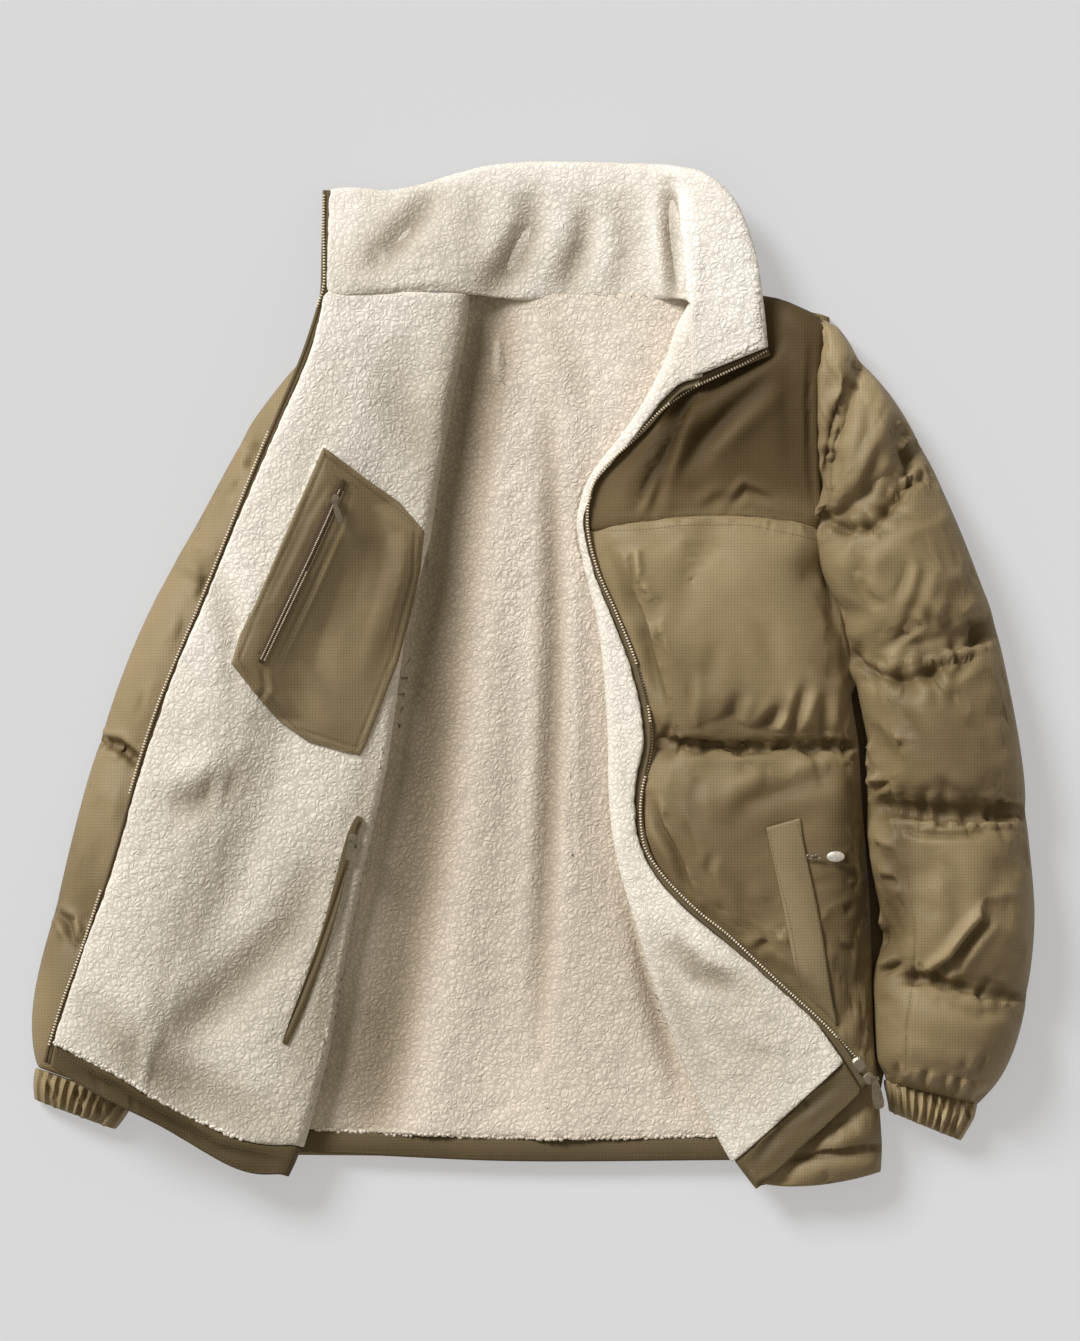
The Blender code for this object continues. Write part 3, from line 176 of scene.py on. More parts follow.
def texture(tree, kind, vector, scale, **settings):
    """A noise or cell texture at a scale in features per metre."""
    node = tree.nodes.new(kind)
    for label, value in settings.items():
        if hasattr(node, label):
            setattr(node, label, value)
        else:
            node.inputs[label.replace("_", " ").title()].default_value = value
    if isinstance(scale, (int, float)):
        node.inputs["Scale"].default_value = scale
    else:
        tree.links.new(scale, node.inputs["Scale"])
    tree.links.new(vector, node.inputs["Vector"])
    return node


# %% The weave of the outer cloth
def make_weave():
    made, start, end = group("small check weave", [("Pitch", 0.0025), ("Depth", 1.0)],
                             ["Height", "Shade"])
    place = made.nodes.new("ShaderNodeTexCoord").outputs["Object"]
    split = made.nodes.new("ShaderNodeSeparateXYZ")
    made.links.new(place, split.inputs[0])
    lines = []
    for axis in ("X", "Y"):
        turn = sums(made, "DIVIDE", split.outputs[axis], start.outputs["Pitch"])
        wave = sums(made, "COSINE", sums(made, "MULTIPLY", turn, 2 * math.pi), 0.0)
        lines.append(ramp(made, wave, 0.35, 1.0))
    check = sums(made, "MAXIMUM", lines[0], lines[1])
    thread = texture(made, "ShaderNodeTexNoise", place, 2600.0, detail=2.0)
    cloud = texture(made, "ShaderNodeTexNoise", place, 22.0, detail=4.0, roughness=0.6)
    crumple = texture(made, "ShaderNodeTexNoise", place, 70.0, detail=3.0, roughness=0.55)
    height = sums(made, "ADD", sums(made, "MULTIPLY", check, 0.7),
                  sums(made, "MULTIPLY", thread.outputs["Fac"], 0.5))
    height = sums(made, "ADD", height, sums(made, "MULTIPLY", crumple.outputs["Fac"], 2.4))
    made.links.new(sums(made, "MULTIPLY", height, start.outputs["Depth"]),
                   end.inputs["Height"])
    darker = sums(made, "MULTIPLY", check, -0.13)
    soft = ramp(made, cloud.outputs["Fac"], 0.3, 0.7, 0.93, 1.05)
    made.links.new(sums(made, "ADD", soft, darker), end.inputs["Shade"])
    return made


weave = make_weave()
print("group:", weave.name)


# %% The curls of the pile
def make_pile():
    made, start, end = group("curly pile", [("Curl", 215.0), ("Depth", 1.0), ("Crevice Shade", 0.76)],
                             ["Height", "Shade"])
    place = made.nodes.new("ShaderNodeTexCoord").outputs["Object"]
    bend = texture(made, "ShaderNodeTexNoise", place, 130.0, detail=1.0)
    offset = made.nodes.new("ShaderNodeVectorMath")
    offset.operation = "MULTIPLY_ADD"
    made.links.new(bend.outputs["Color"], offset.inputs[0])
    offset.inputs[1].default_value = (0.0065, 0.0065, 0.0065)
    made.links.new(place, offset.inputs[2])
    bent = offset.outputs[0]
    webs = texture(made, "ShaderNodeTexVoronoi", bent, start.outputs["Curl"],
                   feature="DISTANCE_TO_EDGE")
    small = texture(made, "ShaderNodeTexVoronoi", bent,
                    sums(made, "MULTIPLY", start.outputs["Curl"], 1.7),
                    feature="DISTANCE_TO_EDGE")
    fibre = texture(made, "ShaderNodeTexNoise", place, 1300.0, detail=2.0, roughness=0.6)
    tuft = texture(made, "ShaderNodeTexNoise", place, 85.0, detail=2.0, roughness=0.5)
    cloud = texture(made, "ShaderNodeTexNoise", place, 40.0, detail=3.0)
    crown = ramp(made, webs.outputs["Distance"], 0.0, 0.42)
    fine = ramp(made, small.outputs["Distance"], 0.0, 0.40, 0.0, 0.28)
    height = sums(made, "ADD", sums(made, "ADD", crown, fine),
                  sums(made, "MULTIPLY", fibre.outputs["Fac"], 0.12))
    height = sums(made, "ADD", height, sums(made, "MULTIPLY", tuft.outputs["Fac"], 2.5))
    made.links.new(sums(made, "MULTIPLY", height, start.outputs["Depth"]),
                   end.inputs["Height"])
    # Painted shade: the colour is darkened in the crevices between curls, down to the input's
    # factor at the crevice.
    crevice_shade = ramp(made, webs.outputs["Distance"], 0.0, 0.15)
    deep = sums(made, "SUBTRACT", 1.0, start.outputs["Crevice Shade"])
    shade = sums(made, "ADD", start.outputs["Crevice Shade"], sums(made, "MULTIPLY", crevice_shade, deep))
    soft = ramp(made, cloud.outputs["Fac"], 0.3, 0.7, 0.96, 1.03)
    made.links.new(sums(made, "MULTIPLY", shade, soft), end.inputs["Shade"])
    return made


pile = make_pile()
print("group:", pile.name)


# %% Materials
PAINTED_SHADE_WARMTH = (("Red", 1.0), ("Green", 1.09), ("Blue", 1.28))    # the power of the painted shading in each channel: painted shade grows warmer as it deepens


def cloth_finish(name, colour, effect, bump_distance, roughness, sheen, gloss=0.22, **values):
    """A cloth: its group and its painted shading shade the colour, and its group drives the
    bump.

    The painted shade is warmer where it is deeper, standing in for light that has come off cloth
    already.
    """
    made = bpy.data.materials.new(name)
    made.use_nodes = True
    tree = made.node_tree
    shader = tree.nodes["Principled BSDF"]
    node = tree.nodes.new("ShaderNodeGroup")
    node.node_tree = effect
    for label, value in values.items():
        node.inputs[label].default_value = value
    tint = tree.nodes.new("ShaderNodeMix")
    tint.data_type = "RGBA"
    tint.blend_type = "MULTIPLY"
    tint.inputs[0].default_value = 1.0
    tint.inputs[6].default_value = (*colour, 1)
    # The painted shading attribute, painted shade and painted highlights, multiplies the colour.
    tone = tree.nodes.new("ShaderNodeAttribute")
    tone.attribute_name = "tone"
    grey = tree.nodes.new("ShaderNodeCombineColor")
    for label, power in PAINTED_SHADE_WARMTH:
        depth = sums(tree, "POWER", tone.outputs["Fac"], power)
        tree.links.new(sums(tree, "MULTIPLY", node.outputs["Shade"], depth), grey.inputs[label])
    tree.links.new(grey.outputs[0], tint.inputs[7])
    tree.links.new(tint.outputs[2], shader.inputs["Base Color"])
    bump = tree.nodes.new("ShaderNodeBump")
    bump.inputs["Distance"].default_value = bump_distance
    bump.inputs["Strength"].default_value = 1.0
    tree.links.new(node.outputs["Height"], bump.inputs["Height"])
    tree.links.new(bump.outputs["Normal"], shader.inputs["Normal"])
    shader.inputs["Roughness"].default_value = roughness
    shader.inputs["Specular IOR Level"].default_value = gloss
    shader.inputs["Sheen Weight"].default_value = sheen
    shader.inputs["Sheen Roughness"].default_value = 0.5
    return made


shell = cloth_finish("shell_cloth", (0.268, 0.198, 0.101), weave, 0.00012, 0.52, 0.0)
# The yoke's colour is the shell cloth painted far darker: painted shade for the yoke, which
# slopes away from the light beneath the collar.
shaded_yoke_cloth = cloth_finish("yoke_cloth_painted_shade", (0.083, 0.055, 0.023), weave, 0.00012, 0.6, 0.0, 0.1)
pocket_cloth = cloth_finish("pocket_cloth", (0.240, 0.180, 0.094), weave, 0.00012, 0.55, 0.0)
facing = cloth_finish("facing_cloth", (0.122, 0.088, 0.043), weave, 0.00010, 0.55, 0.0, 0.15)
fleece = cloth_finish("lining_pile", (0.80, 0.735, 0.635), pile, 0.00045, 0.95, 0.1, 0.1)
back_fleece = cloth_finish("back_pile", (0.735, 0.642, 0.525), pile, 0.00045, 0.95, 0.1, 0.1)
collar_fleece = cloth_finish("collar_pile", (0.750, 0.685, 0.590), pile, 0.00045, 0.95, 0.1,
                             0.1)
coil_tape = cloth_finish("pocket_zip_tape", (0.090, 0.058, 0.036), weave, 0.0001, 0.6, 0.0, 0.1)
tape_finish = cloth_finish("zip_tape_cloth", (0.150, 0.112, 0.061), weave, 0.0001, 0.6, 0.0, 0.1,
                           Pitch=0.0011)
print("cloths:", 9)


def metal_finish(name, colour, roughness, metallic):
    """A worn metal: a cloudy noise darkens it and roughens it in places."""
    made = bpy.data.materials.new(name)
    made.use_nodes = True
    tree = made.node_tree
    shader = tree.nodes["Principled BSDF"]
    shader.inputs["Metallic"].default_value = metallic
    place = tree.nodes.new("ShaderNodeTexCoord").outputs["Object"]
    wear = texture(tree, "ShaderNodeTexNoise", place, 420.0, detail=4.0)
    tint = tree.nodes.new("ShaderNodeMix")
    tint.data_type = "RGBA"
    tint.inputs[6].default_value = (*[c * 0.72 for c in colour], 1)
    tint.inputs[7].default_value = (*colour, 1)
    tree.links.new(ramp(tree, wear.outputs["Fac"], 0.35, 0.62), tint.inputs[0])
    tree.links.new(tint.outputs[2], shader.inputs["Base Color"])
    tree.links.new(ramp(tree, wear.outputs["Fac"], 0.3, 0.7, roughness + 0.12, roughness - 0.05),
                   shader.inputs["Roughness"])
    return made


dark_metal = metal_finish("dark_zip_metal", (0.30, 0.25, 0.18), 0.40, 0.8)
teeth_metal = metal_finish("zip_teeth_metal", (0.74, 0.63, 0.46), 0.36, 0.45)
pale_tip = metal_finish("pale_pull", (0.62, 0.58, 0.50), 0.42, 0.35)
thread_finish = bpy.data.materials.new("thread")
thread_finish.use_nodes = True
thread_shader = thread_finish.node_tree.nodes["Principled BSDF"]
thread_shader.inputs["Base Color"].default_value = (0.13, 0.098, 0.055, 1)
thread_shader.inputs["Roughness"].default_value = 0.7
print("metals and thread:", dark_metal.name, teeth_metal.name, pale_tip.name,
      thread_finish.name)

# %% [markdown]
# ## From solid to cloth
#
# Each piece starts as a copy of its solid. Its triangles are joined to quads, its form is
# rounded with Subdivision Surface, and only the faces that show from above are cut finer, so
# that the points go where the eye does.

# %% Copy and round
def only(piece):
    """Selects one piece and makes it active."""
    bpy.ops.object.select_all(action="DESELECT")
    piece.select_set(True)
    bpy.context.view_layer.objects.active = piece


def all_solids():
    """One search tree of every solid, to ask what lies over a point."""
    points, faces = [], []
    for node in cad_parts.values():
        first = len(points)
        points += [v.co.copy() for v in node.data.vertices]
        faces += [tuple(first + i for i in face.vertices) for face in node.data.polygons]
    return BVHTree.FromPolygons(points, faces)


over_all = all_solids()
UP = Vector((0, 0, 1))


def shows(point):
    """True if nothing lies above this point."""
    return over_all.ray_cast(point, UP)[0] is None


def copy_of(node, name, hold=0.75):
    """A copy of a solid with quads for triangles, its sharp rims held by creases."""
    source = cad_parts[node]
    piece = bpy.data.objects.new(name, source.data.copy())
    bpy.context.collection.objects.link(piece)
    piece.data.materials.clear()
    shape = bmesh.new()
    shape.from_mesh(piece.data)
    bmesh.ops.remove_doubles(shape, verts=shape.verts, dist=0.00002)
    bmesh.ops.join_triangles(shape, faces=shape.faces, angle_face_threshold=math.radians(35),
                             angle_shape_threshold=math.radians(50))
    crease = shape.edges.layers.float.new("crease_edge")
    for edge in shape.edges:
        if len(edge.link_faces) == 2 and edge.calc_face_angle() > math.radians(48):
            edge[crease] = hold
    shape.to_mesh(piece.data)
    shape.free()
    return piece


def apply(piece, name, kind, **settings):
    """Adds one modifier and applies it."""
    only(piece)
    modifier = piece.modifiers.new(name, kind)
    for label, value in settings.items():
        setattr(modifier, label, value)
    bpy.ops.object.modifier_apply(modifier=modifier.name)


def round_off(piece, levels):
    """Rounds a piece with Subdivision Surface."""
    apply(piece, "round", "SUBSURF", levels=levels, render_levels=levels)


def cut_fine(piece, size, rounds=4):
    """Halves the edges that show until none is longer than size in millimetres."""
    shape = bmesh.new()
    shape.from_mesh(piece.data)
    for _ in range(rounds):
        seen = set()
        for face in shape.faces:
            if shows(face.calc_center_median() + face.normal * 0.0006 + UP * 0.0002):
                seen.update(edge.index for edge in face.edges)
        long = [edge for edge in shape.edges
                if edge.index in seen and edge.calc_length() > size * MM]
        if not long:
            break
        made = bmesh.ops.subdivide_edges(shape, edges=long, cuts=1, use_grid_fill=True)
        fresh = [part for part in made["geom_inner"] if isinstance(part, bmesh.types.BMVert)]
        bmesh.ops.smooth_vert(shape, verts=fresh, factor=0.5, use_axis_x=True,
                              use_axis_y=True, use_axis_z=True)
        shape.edges.index_update()
    shape.to_mesh(piece.data)
    shape.free()


def points_of(piece):
    """Places and outward directions of a piece's points, as arrays."""
    count = len(piece.data.vertices)
    places, outward = np.empty(count * 3), np.empty(count * 3)
    piece.data.vertices.foreach_get("co", places)
    piece.data.vertex_normals.foreach_get("vector", outward)
    return places.reshape(-1, 3), outward.reshape(-1, 3)


def set_points(piece, places):
    """Moves a piece's points to these places."""
    piece.data.vertices.foreach_set("co", places.reshape(-1))
    piece.data.update()


def relax(piece, times):
    """Evens out the points that face up and show: each moves towards its neighbours' middle."""
    places, outward = points_of(piece)
    weight = 0.5 * shown_share(piece, places) * np.clip(outward[:, 2] * 2.5, 0, 1)
    here, there, count = neighbours(piece)
    for _ in range(times):
        total = [np.bincount(here, places[there, axis], len(places)) for axis in range(3)]
        places += weight[:, None] * (np.stack(total, 1) / count[:, None] - places)
    set_points(piece, places)


# An oval patch of painted light and shade: its middle and size in pixels, its turn in degrees,
# and the factor it puts on the colour, above 1 for painted light and below 1 for painted shade.
Patch = namedtuple("Patch", "middle size turn tone")
DEEPEST, HIGHEST = -6, 3                # the span of crease depths in mm that sets the painted shade in troughs and the painted highlight on lips
SHADE_PER_MM = 0.07


def paint_shading(piece, patches):
    """Painted shading: painted shade in pressed creases, a painted highlight on their lips, and
    soft oval patches of painted light and shade.
    """
    places, _ = points_of(piece)
    tone = np.ones(len(places))
    # Crease depths become painted shade in the troughs and a painted highlight on the lips.
    pressed = piece.data.attributes.get("pressed")
    if pressed:
        pressed.data.foreach_get("value", tone)
        tone = np.exp(np.clip(tone, DEEPEST, HIGHEST) * SHADE_PER_MM)
        piece.data.attributes.remove(pressed)
    for patch in patches:
        away = places[:, :2] - spot(*patch.middle)
        turn = math.radians(patch.turn)
        along = away @ (math.cos(turn), math.sin(turn)) / (patch.size[0] * PIXEL)
        across = away @ (-math.sin(turn), math.cos(turn)) / (patch.size[1] * PIXEL)
        tone *= patch.tone ** np.exp(-(along ** 2 + across ** 2) ** 1.3)
    piece.data.attributes.new("tone", "FLOAT", "POINT").data.foreach_set("value", tone)


def neighbours(piece):
    """Each point's neighbours as two lists of numbers, and how many each has."""
    ends = np.empty(len(piece.data.edges) * 2, dtype=np.int32)
    piece.data.edges.foreach_get("vertices", ends)
    here, there = np.append(ends[::2], ends[1::2]), np.append(ends[1::2], ends[::2])
    return here, there, np.maximum(np.bincount(here, minlength=len(piece.data.vertices)), 1)


def shown_share(piece, places):
    """1 where a point shows from above and 0 where it is covered, with a soft edge."""
    lift = UP * 0.0015
    share = np.array([1.0 if shows(Vector(p) + lift) else 0.0 for p in places])
    here, there, count = neighbours(piece)
    for _ in range(3):
        share = np.minimum(share, np.bincount(here, share[there], len(share)) / count)
    return share


Cut = namedtuple("Cut", "width length area held on", defaults=(None, "laid", ()))


def finish_piece(piece, finish, node, patches=()):
    """Its painted shading and its cloth; it is shaded smooth, goes with the jacket, and hides
    the solid that it stands for.
    """
    paint_shading(piece, patches)
    piece.data.materials.append(finish)
    only(piece)
    bpy.ops.object.shade_smooth()
    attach(piece, "jacket")
    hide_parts(node)
    count = sum(len(f.vertices) - 2 for f in piece.data.polygons)
    print(piece.name, "triangles:", count)


# %% [markdown]
# ## Creases placed one by one
#
# A crease is a line in the photograph with a depth and a width. It sinks the cloth along the
# line and lifts a lip on one side, as padded cloth does when it buckles. Its ends fade.

# %% The crease
Crease = namedtuple("Crease", "line depth width lip fade", defaults=(0.5, "both"))


def nearest(places, line):
    """Signed distance to a line in plan and how far along it, for every place."""
    best = np.full(len(places), 1e9)
    side, along = np.zeros(len(places)), np.zeros(len(places))
    spots = np.array([spot(*p) for p in line])
    lengths = np.linalg.norm(np.diff(spots, axis=0), axis=1)
    total = lengths.sum()
    done = 0.0
    for a, b, length in zip(spots, spots[1:], lengths):
        direction = (b - a) / length
        away = places[:, :2] - a
        t = np.clip(away @ direction, 0, length)
        gap = away - t[:, None] * direction
        distance = np.linalg.norm(gap, axis=1)
        closer = distance < best
        best[closer] = distance[closer]
        cross = direction[0] * away[:, 1] - direction[1] * away[:, 0]
        side[closer] = np.sign(cross[closer])
        along[closer] = (done + t[closer]) / total
        done += length
    return best * side, along


def crease_depths(places, creases):
    """How far each place moves out, for a table of creases."""
    move = np.zeros(len(places))
    for crease in creases:
        spots = np.array([spot(*p) for p in crease.line])
        width = crease.width * MM
        low, high = spots.min(0) - 5 * width, spots.max(0) + 5 * width
        near = np.where(((places[:, :2] > low) & (places[:, :2] < high)).all(1))[0]
        if not len(near):
            continue
        signed, along = nearest(places[near], crease.line)
        ends = {"both": np.sin(np.pi * np.clip(along, 0.02, 0.98)) ** 0.7,
                "end": np.clip(1 - along, 0, 1) ** 0.7,
                "none": np.ones(len(along))}[crease.fade]
        trough = -np.exp(-(signed / width) ** 2)
        lip = np.exp(-((np.abs(signed) - 1.9 * width) / (1.1 * width)) ** 2)
        lip = lip * np.where(signed > 0, 1.0, 0.35) * crease.lip
        move[near] += (trough + lip) * ends * crease.depth * MM
    return move


def press(piece, creases):
    """Presses a table of creases into the points that show."""
    places, outward = points_of(piece)
    move = crease_depths(places, creases)
    share = shown_share(piece, places)
    move *= share * np.clip(outward[:, 2], 0.0, 1.0) ** 0.5
    set_points(piece, places + outward * move[:, None])
    piece.data.attributes.new("pressed", "FLOAT", "POINT").data.foreach_set("value", move / MM)


def puckers(line, count, length, depth, seed, width=2.2):
    """Short uneven creases that run off a seam on both sides, as gathered cloth has."""
    chance = random.Random(seed)
    spots = [Vector((*p, 0)) for p in line]
    spans = [(b - a).length for a, b in zip(spots, spots[1:])]
    made = []
    for n in range(count):
        at = (n + chance.uniform(0.1, 0.9)) / count * sum(spans)
        for a, b, span in zip(spots, spots[1:], spans):
            if at <= span:
                break
            at -= span
        along = (b - a).normalized()
        foot = a + along * min(at, span)
        for side in (-1, 1):
            if chance.random() < 0.22:
                continue
            across = Vector((-along.y, along.x, 0)) * side
            reach = length * chance.uniform(0.35, 1.25)
            lean = chance.uniform(-0.45, 0.45)
            tip = foot + across * reach + along * reach * lean
            elbow = foot.lerp(tip, 0.5) + along * reach * chance.uniform(-0.12, 0.12)
            made.append(Crease([(foot.x, foot.y), (elbow.x, elbow.y), (tip.x, tip.y)],
                               depth * chance.uniform(0.5, 1.3),
                               width * chance.uniform(0.7, 1.5), 0.6, "end"))
    return made


# %% [markdown]
# ## Padding that swells
#
# Padded cloth is blown up a little with Blender's Cloth: the seams and all that is covered
# stay pinned, pressure lifts the rest, and a slight growth of the cloth makes it buckle. How
# far a point may move is capped, so that the piece keeps its place.

# %% The swelling
PRESSURE, GROWTH = 4.0, 0.03
MOST_MOVE, PIN_WIDTH = 6.0, 3.0         # both in millimetres
CLOTH_FRAMES = 20


def swell(piece, seams):
    """Blows up the points that show like a cushion, pinned along seams given in pixels."""
    places, outward = points_of(piece)
    start = places.copy()
    pinned = shown_share(piece, places) < 0.5
    pinned |= outward[:, 2] < 0.12
    for line in seams:
        signed, _ = nearest(places, line)
        pinned |= np.abs(signed) < PIN_WIDTH * MM
    pins = piece.vertex_groups.new(name="pins")
    pins.add([int(i) for i in np.where(pinned)[0]], 1.0, "REPLACE")
    cloth = piece.modifiers.new("cloth", "CLOTH")
    cloth.settings.vertex_group_mass = "pins"
    cloth.settings.use_pressure = True
    cloth.settings.uniform_pressure_force = PRESSURE
    cloth.settings.effector_weights.gravity = 0.0
    cloth.settings.shrink_min = -GROWTH
    cloth.settings.tension_stiffness = 12.0
    cloth.settings.compression_stiffness = 12.0
    cloth.settings.bending_stiffness = 0.35
    cloth.collision_settings.use_collision = False
    scene = bpy.context.scene
    for step in range(1, CLOTH_FRAMES + 1):
        scene.frame_set(step)
    seen = piece.evaluated_get(bpy.context.evaluated_depsgraph_get())
    moved = np.empty(len(start) * 3)
    seen.data.vertices.foreach_get("co", moved)
    piece.modifiers.clear()
    piece.vertex_groups.clear()
    shift = moved.reshape(-1, 3) - start
    length = np.maximum(np.linalg.norm(shift, axis=1), 1e-9)
    set_points(piece, start + shift * np.minimum(1.0, MOST_MOVE * MM / length)[:, None])
    scene.frame_set(1)
    print(piece.name, "swelled by up to", round(float(length.max()) / MM, 1), "mm")


# %% [markdown]
# ## Pile that clumps
#
# The curls themselves are bump and shade. Larger clumps and the ragged edge are real: the
# points that show move in and out by two cell patterns, with cells 10 and 4.6 mm across.

# %% Cells worked out for many points at once
def cell_distance(places, size, seed):
    """For each place, the distance to its nearest cell centre, in cell sizes."""
    scaled = places / size
    base = np.floor(scaled)
    best = np.full(len(places), 9.0)
    for dx in (-1, 0, 1):
        for dy in (-1, 0, 1):
            for dz in (-1, 0, 1):
                cell = base + (dx, dy, dz)
                key = cell @ np.array([127.1, 311.7, 74.7]) + seed
                jitter = np.stack([np.sin(key * k) * 43758.5453 for k in (1.0, 1.7, 2.3)], 1)
                centre = cell + (jitter - np.floor(jitter))
                best = np.minimum(best, np.linalg.norm(centre - scaled, axis=1))
    return best


BIG_CELL, BIG_DEPTH = 10.0, 0.8         # all in millimetres
SMALL_CELL, SMALL_DEPTH = 4.6, 0.16


def clump(piece, seed):
    """Two sizes of rounded curls on the faces that show, with a ragged edge at a rim."""
    places, outward = points_of(piece)
    share = shown_share(piece, places)
    wave = places + 0.0014 * np.sin(places[:, [1, 2, 0]] * 700.0 + seed)
    wide = 0.45 - np.clip(cell_distance(wave, BIG_CELL * MM, seed), 0, 1.1) ** 2
    curl = 0.40 - np.clip(cell_distance(wave, SMALL_CELL * MM, seed + 5), 0, 1.1) ** 2
    height = (wide * BIG_DEPTH + curl * SMALL_DEPTH) * MM
    rim = 1.0 + 0.8 * np.clip(1 - 2 * np.abs(outward[:, 2]), 0, 1)
    set_points(piece, places + outward * (height * share * rim)[:, None])


Pull = namedtuple("Pull", "line shift reach")


def draw(piece, pulls):
    """Pulls the points near a line a little way, to close a seam or to round an edge."""
    places, _ = points_of(piece)
    for pull in pulls:
        signed, _ = nearest(places, pull.line)
        share = np.clip(1 - np.abs(signed) / (pull.reach * MM), 0, 1)
        share = share * share * (3 - 2 * share)
        places = places + share[:, None] * np.array(pull.shift) * MM
    set_points(piece, places)


# %% [markdown]
# ## Fleece of the back
#
# The back is the largest piece of pile and lies lowest. Its soft folds run from the neck to
# the hem, and it is a little warmer in colour than the lining of the fronts. Its top edge
# is drawn up under the collar, so that pile meets pile at the seam.

# %% Back fleece and its shell
BACK_CREASES = [
    Crease([(546, 395), (553, 520), (555, 640), (551, 760), (544, 900), (538, 1060)],
           6.0, 9, 0.25),
    Crease([(486, 318), (474, 420), (456, 520), (440, 640), (426, 800), (402, 960),
            (382, 1110)], 3.8, 24, 0.0, "none"),
    Crease([(503, 312), (494, 360), (486, 410)], 1.6, 14, 0.0),
    Crease([(630, 880), (650, 980), (682, 1100)], 4.5, 9, 0.2),
    Crease([(560, 320), (572, 360), (590, 420)], 2.0, 12, 0.2),
]
# Painted light and shade on the back's pile: a painted shadow of the folded front beside its
# fold, painted shade in the hollows and painted light on the crests.
BACK_LIGHT_AND_SHADE = [
    Patch((485, 380), (26, 110), -8, 0.56), Patch((444, 600), (30, 190), -6, 0.52),
    Patch((410, 860), (34, 190), -8, 0.50), Patch((364, 1060), (38, 90), -12, 0.56),
    Patch((660, 1000), (30, 130), 14, 0.86), Patch((600, 400), (110, 120), 0, 1.10),
    Patch((515, 560), (16, 240), 3, 1.12), Patch((560, 880), (150, 240), 0, 0.86),
    Patch((550, 650), (14, 330), 0, 0.80), Patch((640, 640), (24, 260), 8, 1.06),
]
back_lining = copy_of("back_lining", "back_fleece")
round_off(back_lining, 2)
cut_fine(back_lining, 2.2)
relax(back_lining, 40)
draw(back_lining, [Pull([(440, 303), (560, 302), (700, 303)], (0, 7.0, 0), 12)])
press(back_lining, BACK_CREASES)
clump(back_lining, 3.0)
finish_piece(back_lining, back_fleece, "back_lining", BACK_LIGHT_AND_SHADE)

UPPER_SIDE, SINK = 9 * MM, 2.5 * MM     # the padding gives way under the creases of the pile
back_shell = copy_of("back_shell", "back_outer")
round_off(back_shell, 1)
places, _ = points_of(back_shell)
places[:, 2] -= np.where(places[:, 2] > UPPER_SIDE, SINK, 0.0)
set_points(back_shell, places)
# The back shell is drawn out under the gaps beside the sleeve and painted darker along its right
# side: painted shade for the gaps between body and sleeve.
draw(back_shell, [Pull([(816, 320), (816, 420), (816, 510)], (9.0, 0, 0), 26),
                  Pull([(830, 560), (838, 620), (850, 700), (858, 800), (864, 900),
                        (872, 1000), (876, 1060)], (13.0, 0, 0), 26)])
finish_piece(back_shell, shell, "back_shell", [Patch((850, 760), (60, 500), 0, 0.45)])

# %% [markdown]
# ## The front that is folded back
#
# Its fleece faces up. The outer cloth shows only along the zip edge and the hem.

# %% Folded front
FLAP_CREASES = [
    Crease([(405, 330), (400, 400), (424, 470)], 4.5, 20, 0.2),
    Crease([(345, 335), (326, 430), (300, 520)], 2.0, 18, 0.3),
    Crease([(168, 806), (206, 800), (244, 772)], 5.0, 13, 0.5),
    Crease([(150, 1050), (212, 1012), (292, 930), (320, 850)], 5.0, 17, 0.5),
    Crease([(212, 560), (236, 640), (240, 720)], 3.0, 12, 0.4),
    Crease([(384, 700), (358, 830), (338, 960), (314, 1080)], 2.4, 10, 0.0),
    Crease([(70, 980), (150, 1065), (280, 1130)], 4.0, 18, 0.1),
]
# Painted light and shade on the folded front's pile: painted light on its upper left, painted
# shade in its folds and along its fold line.
FLAP_LIGHT_AND_SHADE = [
    Patch((340, 340), (110, 120), -20, 1.10), Patch((205, 640), (30, 130), -20, 1.10),
    Patch((110, 930), (44, 130), -18, 1.08), Patch((216, 796), (46, 24), 25, 0.82),
    Patch((250, 960), (130, 90), 45, 0.84), Patch((200, 1095), (130, 34), -27, 0.82),
    Patch((318, 1040), (28, 90), -14, 0.74), Patch((430, 470), (34, 110), -8, 0.82),
    Patch((360, 880), (30, 110), -10, 0.80), Patch((464, 395), (32, 130), -4, 0.60),
    Patch((190, 900), (170, 330), 20, 0.88), Patch((380, 700), (14, 120), -8, 0.86),
]
flap_fleece = copy_of("right_front_lining", "folded_front_fleece")
round_off(flap_fleece, 2)
cut_fine(flap_fleece, 2.2)
relax(flap_fleece, 20)
draw(flap_fleece, [Pull([(320, 299), (400, 298), (472, 300)], (0, 4.5, 0.5), 14),
                   Pull([(324, 300), (303, 350), (281, 405), (257, 468), (230, 536),
                         (207, 592), (175, 668), (155, 725), (137, 790), (117, 860),
                         (88, 945), (66, 1000), (52, 1040)], (-3.6, 1.2, 0.6), 9)])
press(flap_fleece, FLAP_CREASES)
clump(flap_fleece, 11.0)
finish_piece(flap_fleece, fleece, "right_front_lining", FLAP_LIGHT_AND_SHADE)

flap_shell = copy_of("right_front_shell", "folded_front_outer")
round_off(flap_shell, 1)
draw(flap_shell, [Pull([(470, 310), (440, 480), (416, 600), (396, 720), (376, 840), (350, 980),
                        (320, 1120)], (-4.0, 0, 0), 14)])
finish_piece(flap_shell, shell, "right_front_shell")

